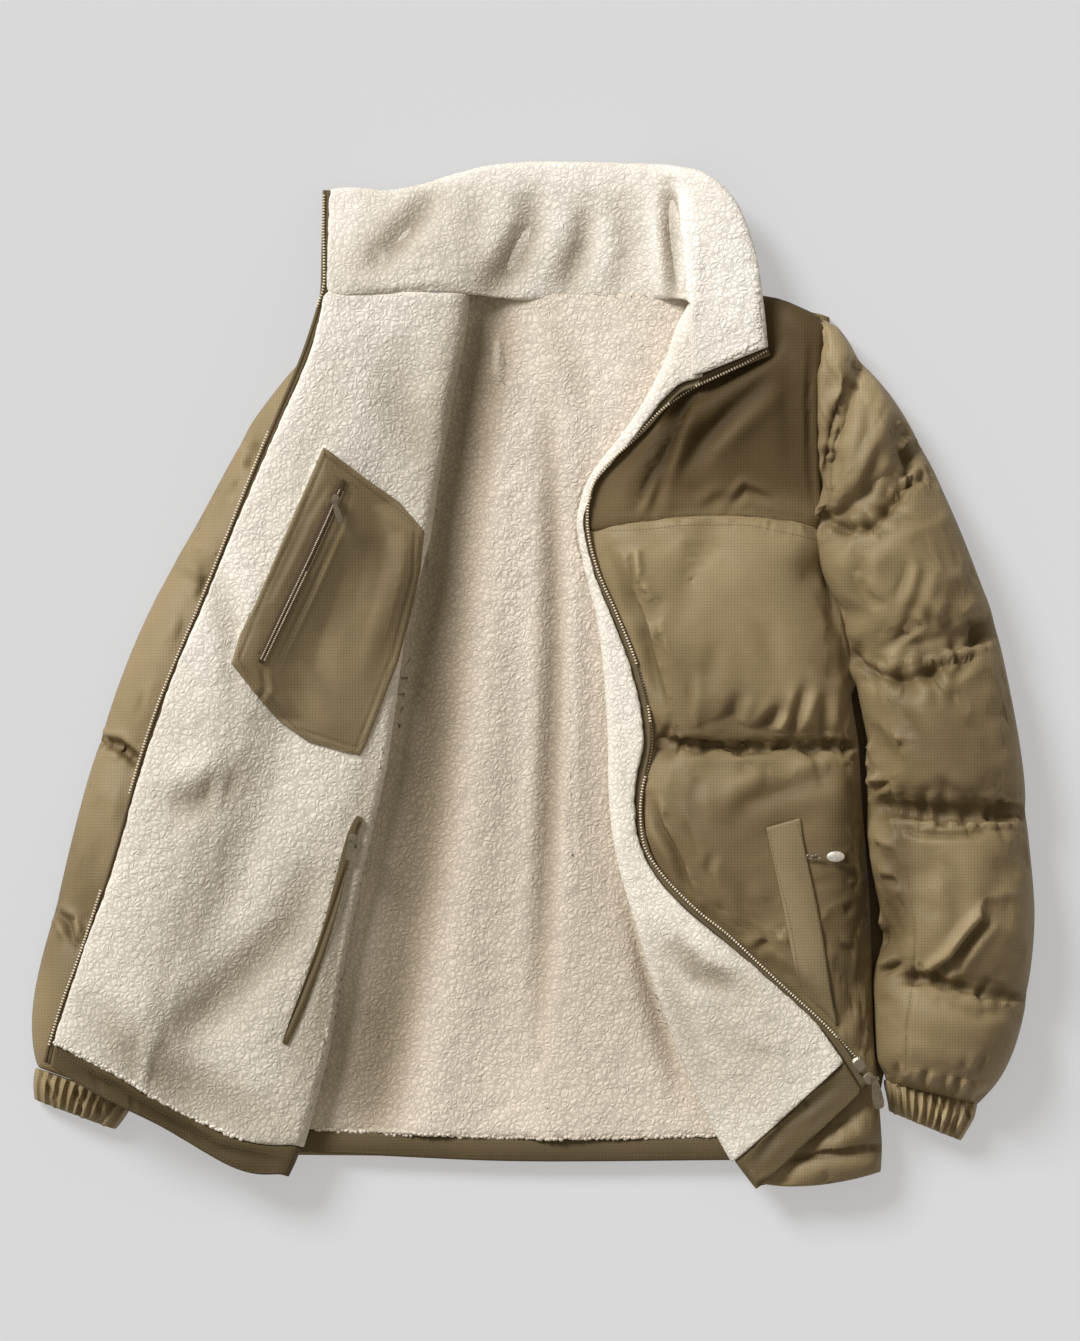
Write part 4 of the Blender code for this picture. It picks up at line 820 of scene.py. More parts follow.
FLAP_HEM_CREASES = [
    Crease([(133, 1095), (136, 1108)], 1.6, 2.0, 0.6),
    Crease([(60, 1052), (110, 1083), (165, 1118), (220, 1148), (285, 1163)], 2.0, 4.0, 0.8),
    Crease([(70, 1068), (125, 1092)], 1.2, 4.0, 0.5),
    Crease([(92, 1068), (104, 1090)], 1.0, 2.4, 0.6),
    Crease([(190, 1120), (205, 1142)], 1.0, 3.0, 0.6),
]
flap_hem = copy_of("right_front_hem_facing", "folded_front_hem")
round_off(flap_hem, 2)
cut_fine(flap_hem, 2.2)
press(flap_hem, FLAP_HEM_CREASES)
# Painted shade on the folded front's hem facing.
finish_piece(flap_hem, facing, "right_front_hem_facing",
             [Patch((180, 1110), (150, 60), -25, 0.76)])

# %% [markdown]
# ## Collar
#
# The stand collar is opened out flat, fleece up, with soft folds where it bends.

# %% Collar
COLLAR_CREASES = [
    Crease([(436, 190), (414, 222), (392, 246), (366, 268)], 6.0, 11, 0.25),
    Crease([(478, 184), (474, 240), (466, 290)], 1.5, 12, 0.2),
    Crease([(532, 188), (530, 228), (512, 266), (484, 298)], 7.0, 12, 0.3),
    Crease([(588, 205), (584, 245), (566, 292)], 5.0, 10, 0.4),
    Crease([(618, 186), (628, 240), (622, 300)], 2.5, 11, 0.2),
    Crease([(668, 186), (672, 225), (676, 262), (678, 300)], 12.0, 6.5, 0.6),
    Crease([(345, 293), (393, 296), (437, 289), (470, 300)], 2.0, 4, 0.2),
]
# Painted light and shade on the collar: painted shade in its folds and deep valley, painted
# light on its right end and top edge.
COLLAR_LIGHT_AND_SHADE = [
    Patch((400, 240), (70, 34), 30, 0.76), Patch((505, 268), (46, 26), 30, 0.74),
    Patch((670, 262), (8, 56), 0, 0.62), Patch((742, 270), (52, 120), 0, 1.26),
    Patch((345, 215), (18, 50), 0, 1.14), Patch((572, 270), (26, 40), 20, 0.88),
    Patch((550, 175), (140, 16), 0, 1.12),
]
collar = copy_of("collar_lining", "collar_fleece")
round_off(collar, 2)
cut_fine(collar, 2.1)
relax(collar, 8)
draw(collar, [Pull([(325, 291), (470, 292), (690, 295)], (0, -4.0, 0), 10),
              Pull([(697, 303), (697, 378)], (-4.5, 0, 0), 10),
              Pull([(326, 200), (326, 286)], (-2.6, 0, 0.4), 8)])
press(collar, COLLAR_CREASES)
clump(collar, 23.0)
finish_piece(collar, collar_fleece, "collar_lining", COLLAR_LIGHT_AND_SHADE)

collar_outer = copy_of("collar_shell", "collar_outer")
round_off(collar_outer, 2)
finish_piece(collar_outer, shell, "collar_shell")

# %% [markdown]
# ## The front that lies shell up
#
# A yoke crosses the chest under a double row of stitches. Below it one quilt line parts two
# puffs, and the hem is a channel. The zip edge is rolled back over the front.

# %% Seams of the shell-up front
YOKE_SEAM = [(595, 524), (665, 520), (710, 518), (750, 519), (790, 526), (818, 533)]
QUILT_LINE = [(650, 743), (700, 745), (745, 748), (790, 748), (830, 747), (867, 746)]
HEM_CHANNEL = [(790, 1157), (827, 1153), (884, 1147)]

# %% Creases of the shell-up front
FRONT_CREASES = [
    Crease([(617, 548), (640, 618), (656, 680), (668, 715)], 6.0, 5, 0.9),
    Crease([(604, 540), (622, 590), (640, 640)], 2.5, 4, 0.6),
    Crease([(629, 534), (631, 560), (635, 585), (643, 581)], 4.0, 2.8, 0.8),
    Crease([(690, 672), (680, 738)], 2.6, 5, 0.6),
    Crease([(741, 690), (722, 742)], 3.4, 5.5, 0.8),
    Crease([(782, 705), (752, 744)], 5.0, 5, 1.1),
    Crease([(806, 684), (788, 738)], 4.2, 4.5, 0.9),
    Crease([(826, 692), (822, 742)], 2.6, 4.5, 0.6),
    Crease([(846, 655), (858, 725)], 3.0, 6, 0.6),
    Crease([(715, 640), (702, 700)], 1.6, 7, 0.5),
    Crease([(760, 620), (775, 680)], 1.4, 8, 0.5),
    Crease([(733, 822), (748, 802), (778, 789), (812, 779), (854, 771)], 4.6, 9, 0.6),
    Crease([(700, 768), (690, 800), (694, 840)], 2.2, 7, 0.5),
    Crease([(650, 797), (660, 827), (677, 855), (690, 900)], 6.0, 4, 0.9),
    Crease([(668, 800), (684, 830), (698, 870)], 2.4, 4, 0.6),
    Crease([(712, 852), (706, 872), (712, 892)], 2.4, 4, 0.7),
    Crease([(738, 880), (752, 930), (776, 975)], 2.4, 7, 0.6),
    Crease([(752, 954), (780, 928), (784, 918)], 3.2, 4, 0.8),
    Crease([(768, 940), (792, 955)], 2.2, 4, 0.6),
    Crease([(824, 925), (840, 913), (856, 905)], 2.6, 3.5, 0.8),
    Crease([(832, 942), (858, 954)], 2.2, 3.5, 0.7),
    Crease([(828, 865), (850, 860), (864, 850)], 1.6, 3.5, 0.6),
    Crease([(850, 985), (866, 1040)], 2.0, 6, 0.4),
    Crease([(856, 800), (862, 900), (866, 1000), (872, 1050)], 4.0, 16, 0.0),
    Crease(QUILT_LINE, 7.0, 14, 0.0, "none"),
    Crease(QUILT_LINE, 1.8, 2.8, 0.3, "none"),
    Crease(HEM_CHANNEL, 3.0, 6.0, 0.0, "none"),
    Crease(HEM_CHANNEL, 1.8, 2.0, 0.3, "none"),
    Crease([(820, 548), (828, 600), (842, 648), (850, 676)], 4.0, 5.0, 0.5),
]
# Painted light and shade on the shell-up front: painted shade below the quilt line, by the welt
# and towards the side, painted light on the chest.
FRONT_LIGHT_AND_SHADE = [
    Patch((760, 890), (120, 120), 0, 0.66), Patch((852, 900), (28, 130), -4, 0.58),
    Patch((840, 1130), (60, 36), 0, 0.78),
    Patch((690, 690), (70, 60), 0, 0.78), Patch((670, 840), (30, 60), -20, 0.80),
    Patch((740, 590), (90, 60), 0, 1.06), Patch((760, 790), (100, 50), 0, 0.90),
]
front_outer = copy_of("left_front_shell", "front_outer")
round_off(front_outer, 2)
swell(front_outer, [QUILT_LINE, HEM_CHANNEL])
relax(front_outer, 3)
cut_fine(front_outer, 2.0)
relax(front_outer, 16)
draw(front_outer, [Pull(YOKE_SEAM, (0, 2.4, 1.0), 8),
                   Pull([(819, 545), (826, 590), (836, 640), (848, 680)], (6.0, 0, -4.0), 16)])
press(front_outer, FRONT_CREASES + puckers(QUILT_LINE, 15, 34, 2.1, 5, 4.4)
      + puckers(YOKE_SEAM, 26, 14, 0.5, 6) + puckers(HEM_CHANNEL, 12, 8, 0.7, 9))
relax(front_outer, 2)
finish_piece(front_outer, shell, "left_front_shell", FRONT_LIGHT_AND_SHADE)

# %% Yoke
YOKE_CREASES = [
    Crease([(692, 388), (681, 412), (666, 448), (652, 478)], 6.0, 6.0, 0.9),
    Crease([(657, 458), (640, 498), (632, 512)], 3.4, 4, 0.7),
    Crease([(676, 440), (660, 480), (652, 512)], 2.6, 5, 0.6),
    Crease([(775, 372), (745, 398), (700, 440), (672, 480)], 4.6, 8, 0.8),
    Crease([(735, 400), (706, 446), (690, 500)], 2.4, 9, 0.5),
    Crease([(730, 508), (745, 490), (770, 500)], 2.4, 3.5, 0.9),
    Crease([(700, 512), (716, 500), (735, 496)], 1.4, 4.5, 0.7),
    Crease([(812, 330), (808, 400), (810, 470), (815, 520)], 2.6, 2.4, 0.9),
    Crease([(792, 330), (786, 400), (790, 480)], 1.6, 8, 0.4),
]
# Painted light and shade on the yoke: painted light along its seam and lower edge, painted shade
# in the fold beside the zip.
YOKE_LIGHT_AND_SHADE = [
    Patch((740, 512), (130, 20), 0, 2.1), Patch((730, 490), (130, 60), 0, 1.25),
    Patch((620, 500), (40, 30), 0, 1.3), Patch((790, 350), (50, 60), 0, 1.10),
    Patch((672, 436), (60, 16), 60, 0.62), Patch((740, 380), (60, 24), 30, 0.85),
]
yoke = copy_of("left_front_yoke", "front_yoke")
round_off(yoke, 2)
cut_fine(yoke, 2.2)
relax(yoke, 16)
draw(yoke, [Pull(YOKE_SEAM, (0, -3.4, 1.6), 9),
            Pull([(818, 330), (815, 400), (815, 515)], (4.5, 0, 0.5), 10)])
press(yoke, YOKE_CREASES + puckers(YOKE_SEAM, 22, 14, 0.35, 7))
relax(yoke, 2)
finish_piece(yoke, shaded_yoke_cloth, "left_front_yoke", YOKE_LIGHT_AND_SHADE)

# %% Rolled fleece edge and its hem facing
LAPEL_CREASES = [
    Crease([(668, 936), (700, 974), (742, 990)], 5.0, 9, 0.6),
    Crease([(708, 1020), (740, 1050), (780, 1062)], 2.5, 9, 0.4),
    Crease([(650, 930), (690, 1040), (716, 1110)], 2.0, 10, 0.3),
]
# Painted light and shade on the rolled fleece edge: painted light near its top, painted shade in
# its lower folds.
LAPEL_LIGHT_AND_SHADE = [
    Patch((660, 420), (60, 14), 42, 1.10), Patch((610, 620), (14, 150), 10, 1.08),
    Patch((708, 970), (44, 16), -25, 0.82), Patch((710, 1030), (110, 90), -40, 0.72),
]
lapel = copy_of("left_front_lining", "rolled_edge_fleece")
round_off(lapel, 2)
cut_fine(lapel, 2.2)
relax(lapel, 8)
draw(lapel, [Pull([(683, 300), (690, 345), (696, 382)], (6.5, 1.5, 1.0), 11),
             Pull([(676, 398), (640, 432), (605, 466), (592, 496)], (1.8, -1.8, 0.4), 7),
             Pull([(590, 500), (594, 560), (620, 620), (648, 715), (646, 780), (640, 815)],
                  (2.2, 0, 0.4), 7),
             Pull([(648, 850), (690, 902), (760, 966), (848, 1050)], (1.8, 1.8, 0.4), 7)])
press(lapel, LAPEL_CREASES)
clump(lapel, 31.0)
finish_piece(lapel, fleece, "left_front_lining", LAPEL_LIGHT_AND_SHADE)

HEM_CORNER_CREASES = [
    Crease([(741, 1166), (755, 1190), (773, 1178)], 2.4, 3.0, 0.8),
    Crease([(752, 1166), (772, 1140), (800, 1112), (838, 1082)], 2.0, 4.0, 1.0),
    Crease([(800, 1098), (812, 1110)], 1.4, 2.4, 0.6),
    Crease([(775, 1122), (786, 1138)], 1.4, 2.4, 0.6),
]
front_hem = copy_of("left_front_hem_facing", "front_hem_facing")
round_off(front_hem, 2)
cut_fine(front_hem, 2.2)
press(front_hem, HEM_CORNER_CREASES)
finish_piece(front_hem, facing, "left_front_hem_facing")

# %% [markdown]
# ## Sleeves
#
# Each sleeve is a row of puffs between quilt lines that are gathered by their thread. One
# lies in full view, and the other shows only beyond the folded front.

# %% Sleeve in view
Q1 = [(862, 359), (846, 386), (838, 408), (831, 432), (826, 475), (822, 500)]
Q2 = [(908, 436), (909, 478), (892, 500), (872, 526), (845, 528), (822, 520)]
Q3 = [(846, 655), (866, 670), (886, 677), (907, 679), (928, 668), (946, 662), (962, 650),
      (988, 626)]
Q4 = [(876, 806), (903, 810), (930, 813), (967, 814), (997, 813), (1030, 811)]
Q5 = [(908, 977), (937, 981), (960, 986), (983, 993), (1028, 998)]
LENGTH_SEAM = [(887, 787), (893, 820), (903, 857), (908, 890), (912, 923), (913, 957),
               (911, 985), (905, 1023), (905, 1070)]
SLEEVE_CREASES = [
    Crease(Q1, 5.0, 9.0, 0.0, "none"), Crease(Q1, 1.2, 3.0, 0.4, "none"),
    Crease(Q2, 9.0, 12, 0.0, "none"), Crease(Q2, 2.4, 3.0, 0.8, "none"),
    Crease(Q3, 10.0, 13, 0.0, "none"), Crease(Q3, 2.6, 3.0, 0.6, "none"),
    Crease(Q4, 9.0, 13, 0.0, "none"), Crease(Q4, 2.0, 3.0, 0.5, "none"),
    Crease([(897, 826), (917, 833), (950, 834), (977, 832), (994, 824)], 3.4, 3.2, 0.6),
    Crease(Q5, 5.0, 9, 0.0, "none"), Crease(Q5, 2.2, 2.4, 0.5, "none"),
    Crease([(912, 978), (934, 975), (954, 958), (970, 936), (988, 914), (1006, 902)],
           7.0, 4.4, 1.3),
    Crease([(948, 1000), (980, 1012), (1016, 1010)], 2.6, 5.0, 0.6),
    Crease(LENGTH_SEAM, 1.6, 1.8, 0.4, "none"),
    Crease([(847, 382), (836, 410), (826, 440), (820, 487)], 1.4, 4.0, 0.5),
    Crease([(868, 395), (866, 430), (850, 470)], 2.6, 6, 0.6),
    Crease([(900, 408), (893, 440), (880, 470)], 2.4, 6, 0.5),
    Crease([(923, 466), (932, 500)], 3.0, 5, 0.7),
    Crease([(880, 440), (872, 470), (860, 498)], 4.0, 5, 0.8),
    Crease([(860, 545), (856, 580), (862, 620)], 3.0, 6, 0.6),
    Crease([(904, 560), (893, 604)], 3.4, 6, 0.8),
    Crease([(926, 556), (914, 600), (900, 640)], 3.0, 5, 0.7),
    Crease([(910, 625), (890, 645)], 3.6, 4, 0.8),
    Crease([(920, 604), (937, 632)], 3.0, 5, 0.7),
    Crease([(968, 590), (945, 618), (940, 645)], 3.4, 5, 0.8),
    Crease([(988, 604), (998, 622)], 2.4, 4, 0.6),
    Crease([(953, 682), (962, 664), (984, 636)], 3.6, 4, 0.8),
    Crease([(940, 700), (980, 690), (1008, 690)], 2.0, 8, 0.4),
    Crease([(870, 700), (905, 720), (930, 760)], 2.4, 8, 0.5),
    Crease([(868, 757), (884, 750), (902, 744)], 7.0, 3.4, 1.1),
    Crease([(866, 772), (890, 764)], 5.0, 3.0, 0.9),
    Crease([(868, 792), (888, 780)], 6.0, 3.4, 1.1),
    Crease([(940, 780), (960, 800)], 2.0, 5, 0.5),
    Crease([(868, 843), (882, 852), (896, 870)], 5.0, 4, 0.9),
    Crease([(874, 880), (902, 880)], 3.6, 3.5, 0.8),
    Crease([(878, 952), (893, 925), (900, 900)], 7.0, 4, 1.1),
    Crease([(880, 974), (902, 962)], 5.0, 3.2, 0.9),
    Crease([(940, 850), (955, 900), (950, 940)], 2.2, 9, 0.5),
    Crease([(926, 1064), (921, 1088)], 3.6, 3, 0.9),
    Crease([(946, 1070), (940, 1096)], 3.0, 3, 0.8),
    Crease([(964, 1060), (955, 1085), (945, 1098)], 4.4, 3.4, 0.9),
    Crease([(988, 1048), (972, 1080), (962, 1100)], 3.4, 4, 0.7),
    Crease([(896, 1060), (897, 1084)], 3.0, 3, 0.8),
    Crease([(1004, 1040), (990, 1080)], 2.4, 4, 0.6),
]
# Painted light and shade on the sleeve: a painted highlight on its top, painted shade along its
# inner side and across its middle.
SLEEVE_LIGHT_AND_SHADE = [
    Patch((862, 350), (36, 46), 0, 1.5), Patch((925, 735), (70, 50), 0, 0.78),
    Patch((892, 900), (18, 110), -6, 0.52), Patch((940, 800), (110, 330), 0, 0.87),
]
sleeve = copy_of("left_sleeve", "sleeve_in_view")
round_off(sleeve, 2)
swell(sleeve, [Q1, Q2, Q3, Q4, Q5])
relax(sleeve, 3)
cut_fine(sleeve, 2.0)
relax(sleeve, 16)
draw(sleeve, [Pull([(824, 316), (824, 400), (824, 505)], (-5.5, 0, 0), 13),
              Pull([(826, 520), (834, 570), (844, 620), (852, 665)], (-9.0, 0, 0), 20),
              Pull([(872, 760), (870, 850), (880, 950), (880, 1060)], (-4.0, 0, 0), 16)])
press(sleeve, SLEEVE_CREASES + puckers(Q1, 6, 26, 2.2, 1, 4) + puckers(Q2, 8, 34, 2.8, 2, 4.6)
      + puckers(Q3, 9, 40, 3.2, 3, 4.8) + puckers(Q4, 9, 34, 2.4, 4, 4.4)
      + puckers(Q5, 8, 26, 1.9, 8, 3.8))
relax(sleeve, 2)
finish_piece(sleeve, shell, "left_sleeve", SLEEVE_LIGHT_AND_SHADE)

# %% Sleeve under the folded front
UNDER_CREASES = [
    Crease([(258, 440), (244, 480), (222, 494)], 5.0, 5, 0.8),
    Crease([(236, 520), (224, 560), (206, 600)], 3.4, 6, 0.6),
    Crease([(200, 552), (205, 584), (196, 640)], 3.0, 4, 0.6),
    Crease([(182, 600), (186, 650), (170, 700)], 2.4, 5, 0.6),
    Crease([(88, 738), (118, 745), (143, 764)], 5.5, 4, 0.8, "none"),
    Crease([(88, 738), (118, 745), (143, 764)], 4.0, 10, 0.0, "none"),
    Crease([(53, 910), (68, 922), (72, 940), (88, 950)], 6.0, 4, 0.9),
    Crease([(45, 930), (58, 938), (70, 960)], 3.4, 4, 0.7),
    Crease([(100, 800), (96, 850), (84, 890)], 2.6, 6, 0.5),
    Crease([(44, 990), (50, 1040)], 2.4, 5, 0.5),
    Crease([(140, 690), (134, 730)], 2.4, 5, 0.5),
]
under_sleeve = copy_of("right_sleeve", "sleeve_below")
round_off(under_sleeve, 2)
swell(under_sleeve, [])
cut_fine(under_sleeve, 2.2)
relax(under_sleeve, 12)
press(under_sleeve, UNDER_CREASES + puckers([(88, 738), (118, 745), (143, 764)], 8, 12, 1.4, 12))
relax(under_sleeve, 2)
# Painted light on the under sleeve's upper part and painted shade lower down.
finish_piece(under_sleeve, shell, "right_sleeve",
             [Patch((180, 620), (60, 140), 20, 1.10), Patch((80, 930), (60, 130), 15, 0.70)])

# %% Cuffs
CUFF_CREASES = [
    Crease([(897, 1086), (894, 1104), (890, 1118)], 2.4, 1.8, 0.6, "none"),
    Crease([(915, 1092), (916, 1112), (910, 1132)], 1.8, 2.2, 0.6, "none"),
    Crease([(935, 1096), (940, 1118), (936, 1140)], 2.6, 1.6, 0.8, "none"),
    Crease([(955, 1102), (953, 1124), (957, 1146)], 1.8, 2.6, 0.6, "none"),
    Crease([(966, 1104), (972, 1126), (966, 1150)], 2.2, 1.6, 0.6, "none"),
    Crease([(44, 1076), (52, 1098), (46, 1120)], 2.2, 1.8, 0.6, "none"),
    Crease([(76, 1092), (80, 1110), (72, 1128)], 2.4, 1.8, 0.6, "none"),
    Crease([(98, 1100), (100, 1116), (96, 1130)], 1.8, 2.2, 0.6, "none"),
]
for node, name in (("left_cuff", "cuff_in_view"), ("right_cuff", "cuff_below")):
    cuff = copy_of(node, name)
    round_off(cuff, 2)
    cut_fine(cuff, 2.4)
    draw(cuff, [Pull([(884, 1083), (930, 1094), (979, 1107)], (-0.8, 3.4, 0), 10)])
    press(cuff, CUFF_CREASES)
    # Painted light on the cuffs.
    finish_piece(cuff, shell, node, [Patch((915, 1120), (80, 40), 0, 1.25)])

# %% [markdown]
# ## Small cloth parts
#
# The chest pocket is a flat patch with a bound edge, its zip and a placket beside it. The
# other pockets show only a welt. Tapes run along both front edges and the collar's ends.

# %% Chest pocket
POCKET_EDGE = [(327, 457), (372, 491), (416, 527), (413, 575), (394, 652), (357, 748),
               (299, 729), (241, 660), (268, 590), (300, 520), (327, 457)]
POCKET_CREASES = [
    Crease(POCKET_EDGE, 0.7, 1.4, 0.3, "none"),
    Crease([(352, 492), (340, 530), (312, 592), (276, 668)], 1.0, 2.0, 0.7),
    Crease([(322, 470), (300, 530), (262, 610)], 1.2, 4.0, 0.7),
    Crease([(330, 480), (310, 520)], 1.0, 3.0, 0.6),
    Crease([(398, 560), (392, 610), (372, 690)], 1.8, 8.0, 0.6),
    Crease([(263, 668), (267, 688), (258, 704)], 1.4, 2.6, 0.6),
    Crease([(318, 500), (300, 540), (268, 606)], 0.8, 2.0, 0.5),
    Crease([(372, 500), (385, 560), (376, 610)], 1.0, 9.0, 0.4),
    Crease([(300, 640), (330, 690), (350, 720)], 1.0, 8.0, 0.4),
]
# Painted light and shade on the chest pocket: painted shade on its right side, beside the zip
# and along its lower edge, painted light in its middle.
POCKET_LIGHT_AND_SHADE = [
    Patch((398, 620), (22, 90), -14, 0.72), Patch((330, 640), (60, 60), 0, 1.06),
    Patch((298, 560), (17, 120), -25, 0.62), Patch((300, 740), (70, 14), 10, 0.85),
]
pocket = copy_of("chest_pocket", "chest_pocket_cloth", 1.0)
apply(pocket, "cut", "SUBSURF", subdivision_type="SIMPLE", levels=1, render_levels=1)
cut_fine(pocket, 2.0)
relax(pocket, 6)
press(pocket, POCKET_CREASES)
finish_piece(pocket, pocket_cloth, "chest_pocket", POCKET_LIGHT_AND_SHADE)

# %% Welts and tapes
SLIT = Crease([(361, 824), (352, 852), (335, 905), (318, 955), (300, 1000), (287, 1030)],
              1.6, 1.4, 0.3, "none")
small_cloth = {}
for node, name, finish, slot, cut in (
        ("back_hem_facing", "back_hem", facing, "facing", Cut(0.022, 0.455)),
        ("chest_pocket_zip", "chest_pocket_tape", coil_tape, "zip_tape", Cut(0.01, 0.16)),
        ("lining_pocket_binding", "lining_pocket_welt", facing, "facing", Cut(0.01, 0.19)),
        ("hand_pocket_welt", "hand_pocket_strip", pocket_cloth, "shell", Cut(0.027, 0.175)),
        ("left_zip_tape", "front_zip_tape", tape_finish, "zip_tape", Cut(0.01, 0.70)),
        ("right_zip_tape", "folded_front_zip_tape", tape_finish, "zip_tape",
         Cut(0.01, 0.76))):
    piece = copy_of(node, name)
    round_off(piece, 2 if "tape" not in node else 1)
    if node == "lining_pocket_binding":
        press(piece, [SLIT])
    finish_piece(piece, finish, node)
    small_cloth[name] = piece

# %% [markdown]
# ## Zip teeth and stitches
#
# One tooth and one stitch are modelled. Each is copied along lines that are read off the
# photograph and laid on the finished cloth, and each row becomes one mesh.

# %% Lines laid on the cloth
def smooth_line(line, steps=6):
    """A smooth curve through pixels, as places in plan."""
    spots = [Vector(spot(*p)) for p in line]
    spots = [2 * spots[0] - spots[1]] + spots + [2 * spots[-1] - spots[-2]]
    made = []
    for a, b, c, d in zip(spots, spots[1:], spots[2:], spots[3:]):
        for k in range(steps):
            t = k / steps
            made.append(0.5 * (2 * b + (c - a) * t + (2 * a - 5 * b + 4 * c - d) * t * t
                               + (3 * b - a - 3 * c + d) * t ** 3))
    return made + [spots[-2]]


def walk(line, pitch, inset=0.0):
    """Places and headings at equal steps along a line, moved to its left by inset in mm."""
    curve = smooth_line(line)
    left, made = 0.0, []
    for a, b in zip(curve, curve[1:]):
        span = (b - a).length
        heading = (b - a).normalized()
        while left < span:
            side = Vector((-heading.y, heading.x))
            made.append((a + heading * left + side * inset * MM, heading))
            left += pitch * MM
        left -= span
    return made


def tree_of(*pieces):
    """One search tree of several pieces."""
    points, faces = [], []
    for piece in pieces:
        first = len(points)
        points += [v.co.copy() for v in piece.data.vertices]
        faces += [tuple(first + i for i in face.vertices) for face in piece.data.polygons]
    return BVHTree.FromPolygons(points, faces)


def stand_on(tree, steps, rise=0.0, level=False):
    """A matrix for each step that lands on the cloth, its X along the line."""
    places = []
    for (x, y), heading in steps:
        hit, normal, _, _ = tree.ray_cast(Vector((x, y, 0.3)), -UP)
        if hit is None:
            continue
        up = UP if level or normal.z < 0.25 else normal
        along = Vector((heading.x, heading.y, 0))
        along = (along - up * along.dot(up)).normalized()
        turn = Matrix((along, up.cross(along), up)).transposed().to_4x4()
        places.append(Matrix.Translation(hit + up * rise * MM) @ turn)
    return places


def many(name, pattern, places):
    """One joined mesh of a pattern piece at every place."""
    corners = [v.co.copy() for v in pattern.data.vertices]
    rings = [tuple(face.vertices) for face in pattern.data.polygons]
    points, faces = [], []
    for place in places:
        first = len(points)
        points += [place @ corner for corner in corners]
        faces += [tuple(first + i for i in ring) for ring in rings]
    mesh = bpy.data.meshes.new(name)
    mesh.from_pydata(points, [], faces)
    made = bpy.data.objects.new(name, mesh)
    bpy.context.collection.objects.link(made)
    only(made)
    bpy.ops.object.shade_smooth()
    print(name, "copies:", len(places), "triangles:", len(places) *
          sum(len(ring) - 2 for ring in rings))
    return made


def ride_small(piece, finish):
    """A small joined mesh gets its material and goes with the jacket."""
    piece.data.materials.append(finish)
    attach(piece, "jacket")


# %% One tooth, one stitch, one bead of a coil and one tuft
def pattern_of(name, segments, rings, size, turn=0.0):
    """A small ball, turned about Y and then stretched to a size in millimetres."""
    bpy.ops.object.select_all(action="DESELECT")
    bpy.ops.mesh.primitive_uv_sphere_add(segments=segments, ring_count=rings, radius=0.5)
    made = bpy.context.object
    made.name = name
    made.rotation_euler = (0, turn, 0)
    bpy.ops.object.transform_apply(location=False, rotation=True, scale=False)
    made.scale = [side * MM for side in size]
    bpy.ops.object.transform_apply(location=False, rotation=False, scale=True)
    return made


tooth = pattern_of("tooth_pattern", 8, 6, (1.9, 2.9, 2.2))
stitch = pattern_of("stitch_pattern", 6, 5, (2.3, 0.62, 0.5), math.pi / 2)
bead = pattern_of("bead_pattern", 6, 5, (1.25, 1.7, 1.2))
bpy.ops.object.select_all(action="DESELECT")
bpy.ops.mesh.primitive_ico_sphere_add(subdivisions=2, radius=0.5)
tuft = bpy.context.object
tuft.name = "tuft_pattern"
tuft.scale = (3.4 * MM, 3.0 * MM, 2.4 * MM)
bpy.ops.object.transform_apply(location=False, rotation=False, scale=True)
print("patterns:", tooth.name, stitch.name, bead.name, tuft.name)

# %% Teeth of the main zip
LEFT_ZIP = [(766, 352), (745, 364), (720, 376), (698, 386), (684, 394), (665, 408),
            (648, 424), (632, 442), (610, 462), (597, 478), (590, 497), (588, 520),
            (590, 540), (595, 560), (602, 580), (613, 604), (622, 625), (633, 652),
            (643, 682), (650, 715), (652, 742), (649, 765), (643, 788), (641, 815),
            (645, 846), (658, 868), (675, 888), (700, 912), (728, 934), (757, 961),
            (788, 990), (820, 1019), (845, 1045), (856, 1057)]
RIGHT_ZIP = [(323, 195), (323, 230), (324, 262), (323, 290), (311, 322), (298, 362),
             (276, 415), (252, 474), (226, 540), (202, 600), (170, 676), (150, 730),
             (130, 795), (110, 864), (84, 945), (64, 1000), (50, 1045)]
TOOTH_PITCH, FROM_LINE, ABOVE_TAPE = 2.45, 0.4, 0.5      # all in millimetres
zip_tapes = tree_of(small_cloth["front_zip_tape"], small_cloth["folded_front_zip_tape"], yoke,
                    front_outer, lapel)
rows = stand_on(zip_tapes, walk(LEFT_ZIP, TOOTH_PITCH, -FROM_LINE), ABOVE_TAPE, True)
rows += stand_on(zip_tapes, walk(RIGHT_ZIP, TOOTH_PITCH, FROM_LINE), ABOVE_TAPE, True)
teeth = many("zip_teeth", tooth, rows)
ride_small(teeth, teeth_metal)

# %% Coils of the chest pocket's zip
POCKET_ZIP = [(342, 492), (331, 518), (312, 560), (288, 610), (264, 660)]
BEAD_PITCH, COIL_HALF_GAP, ABOVE_POCKET = 1.5, 1.5, 0.45    # all in millimetres
pocket_tape = tree_of(small_cloth["chest_pocket_tape"], pocket)
coil_rows = []
for inset in (-COIL_HALF_GAP, COIL_HALF_GAP):
    coil_rows += stand_on(pocket_tape, walk(POCKET_ZIP, BEAD_PITCH, inset), ABOVE_POCKET)
coils = many("pocket_zip_coils", bead, coil_rows)
ride_small(coils, teeth_metal)

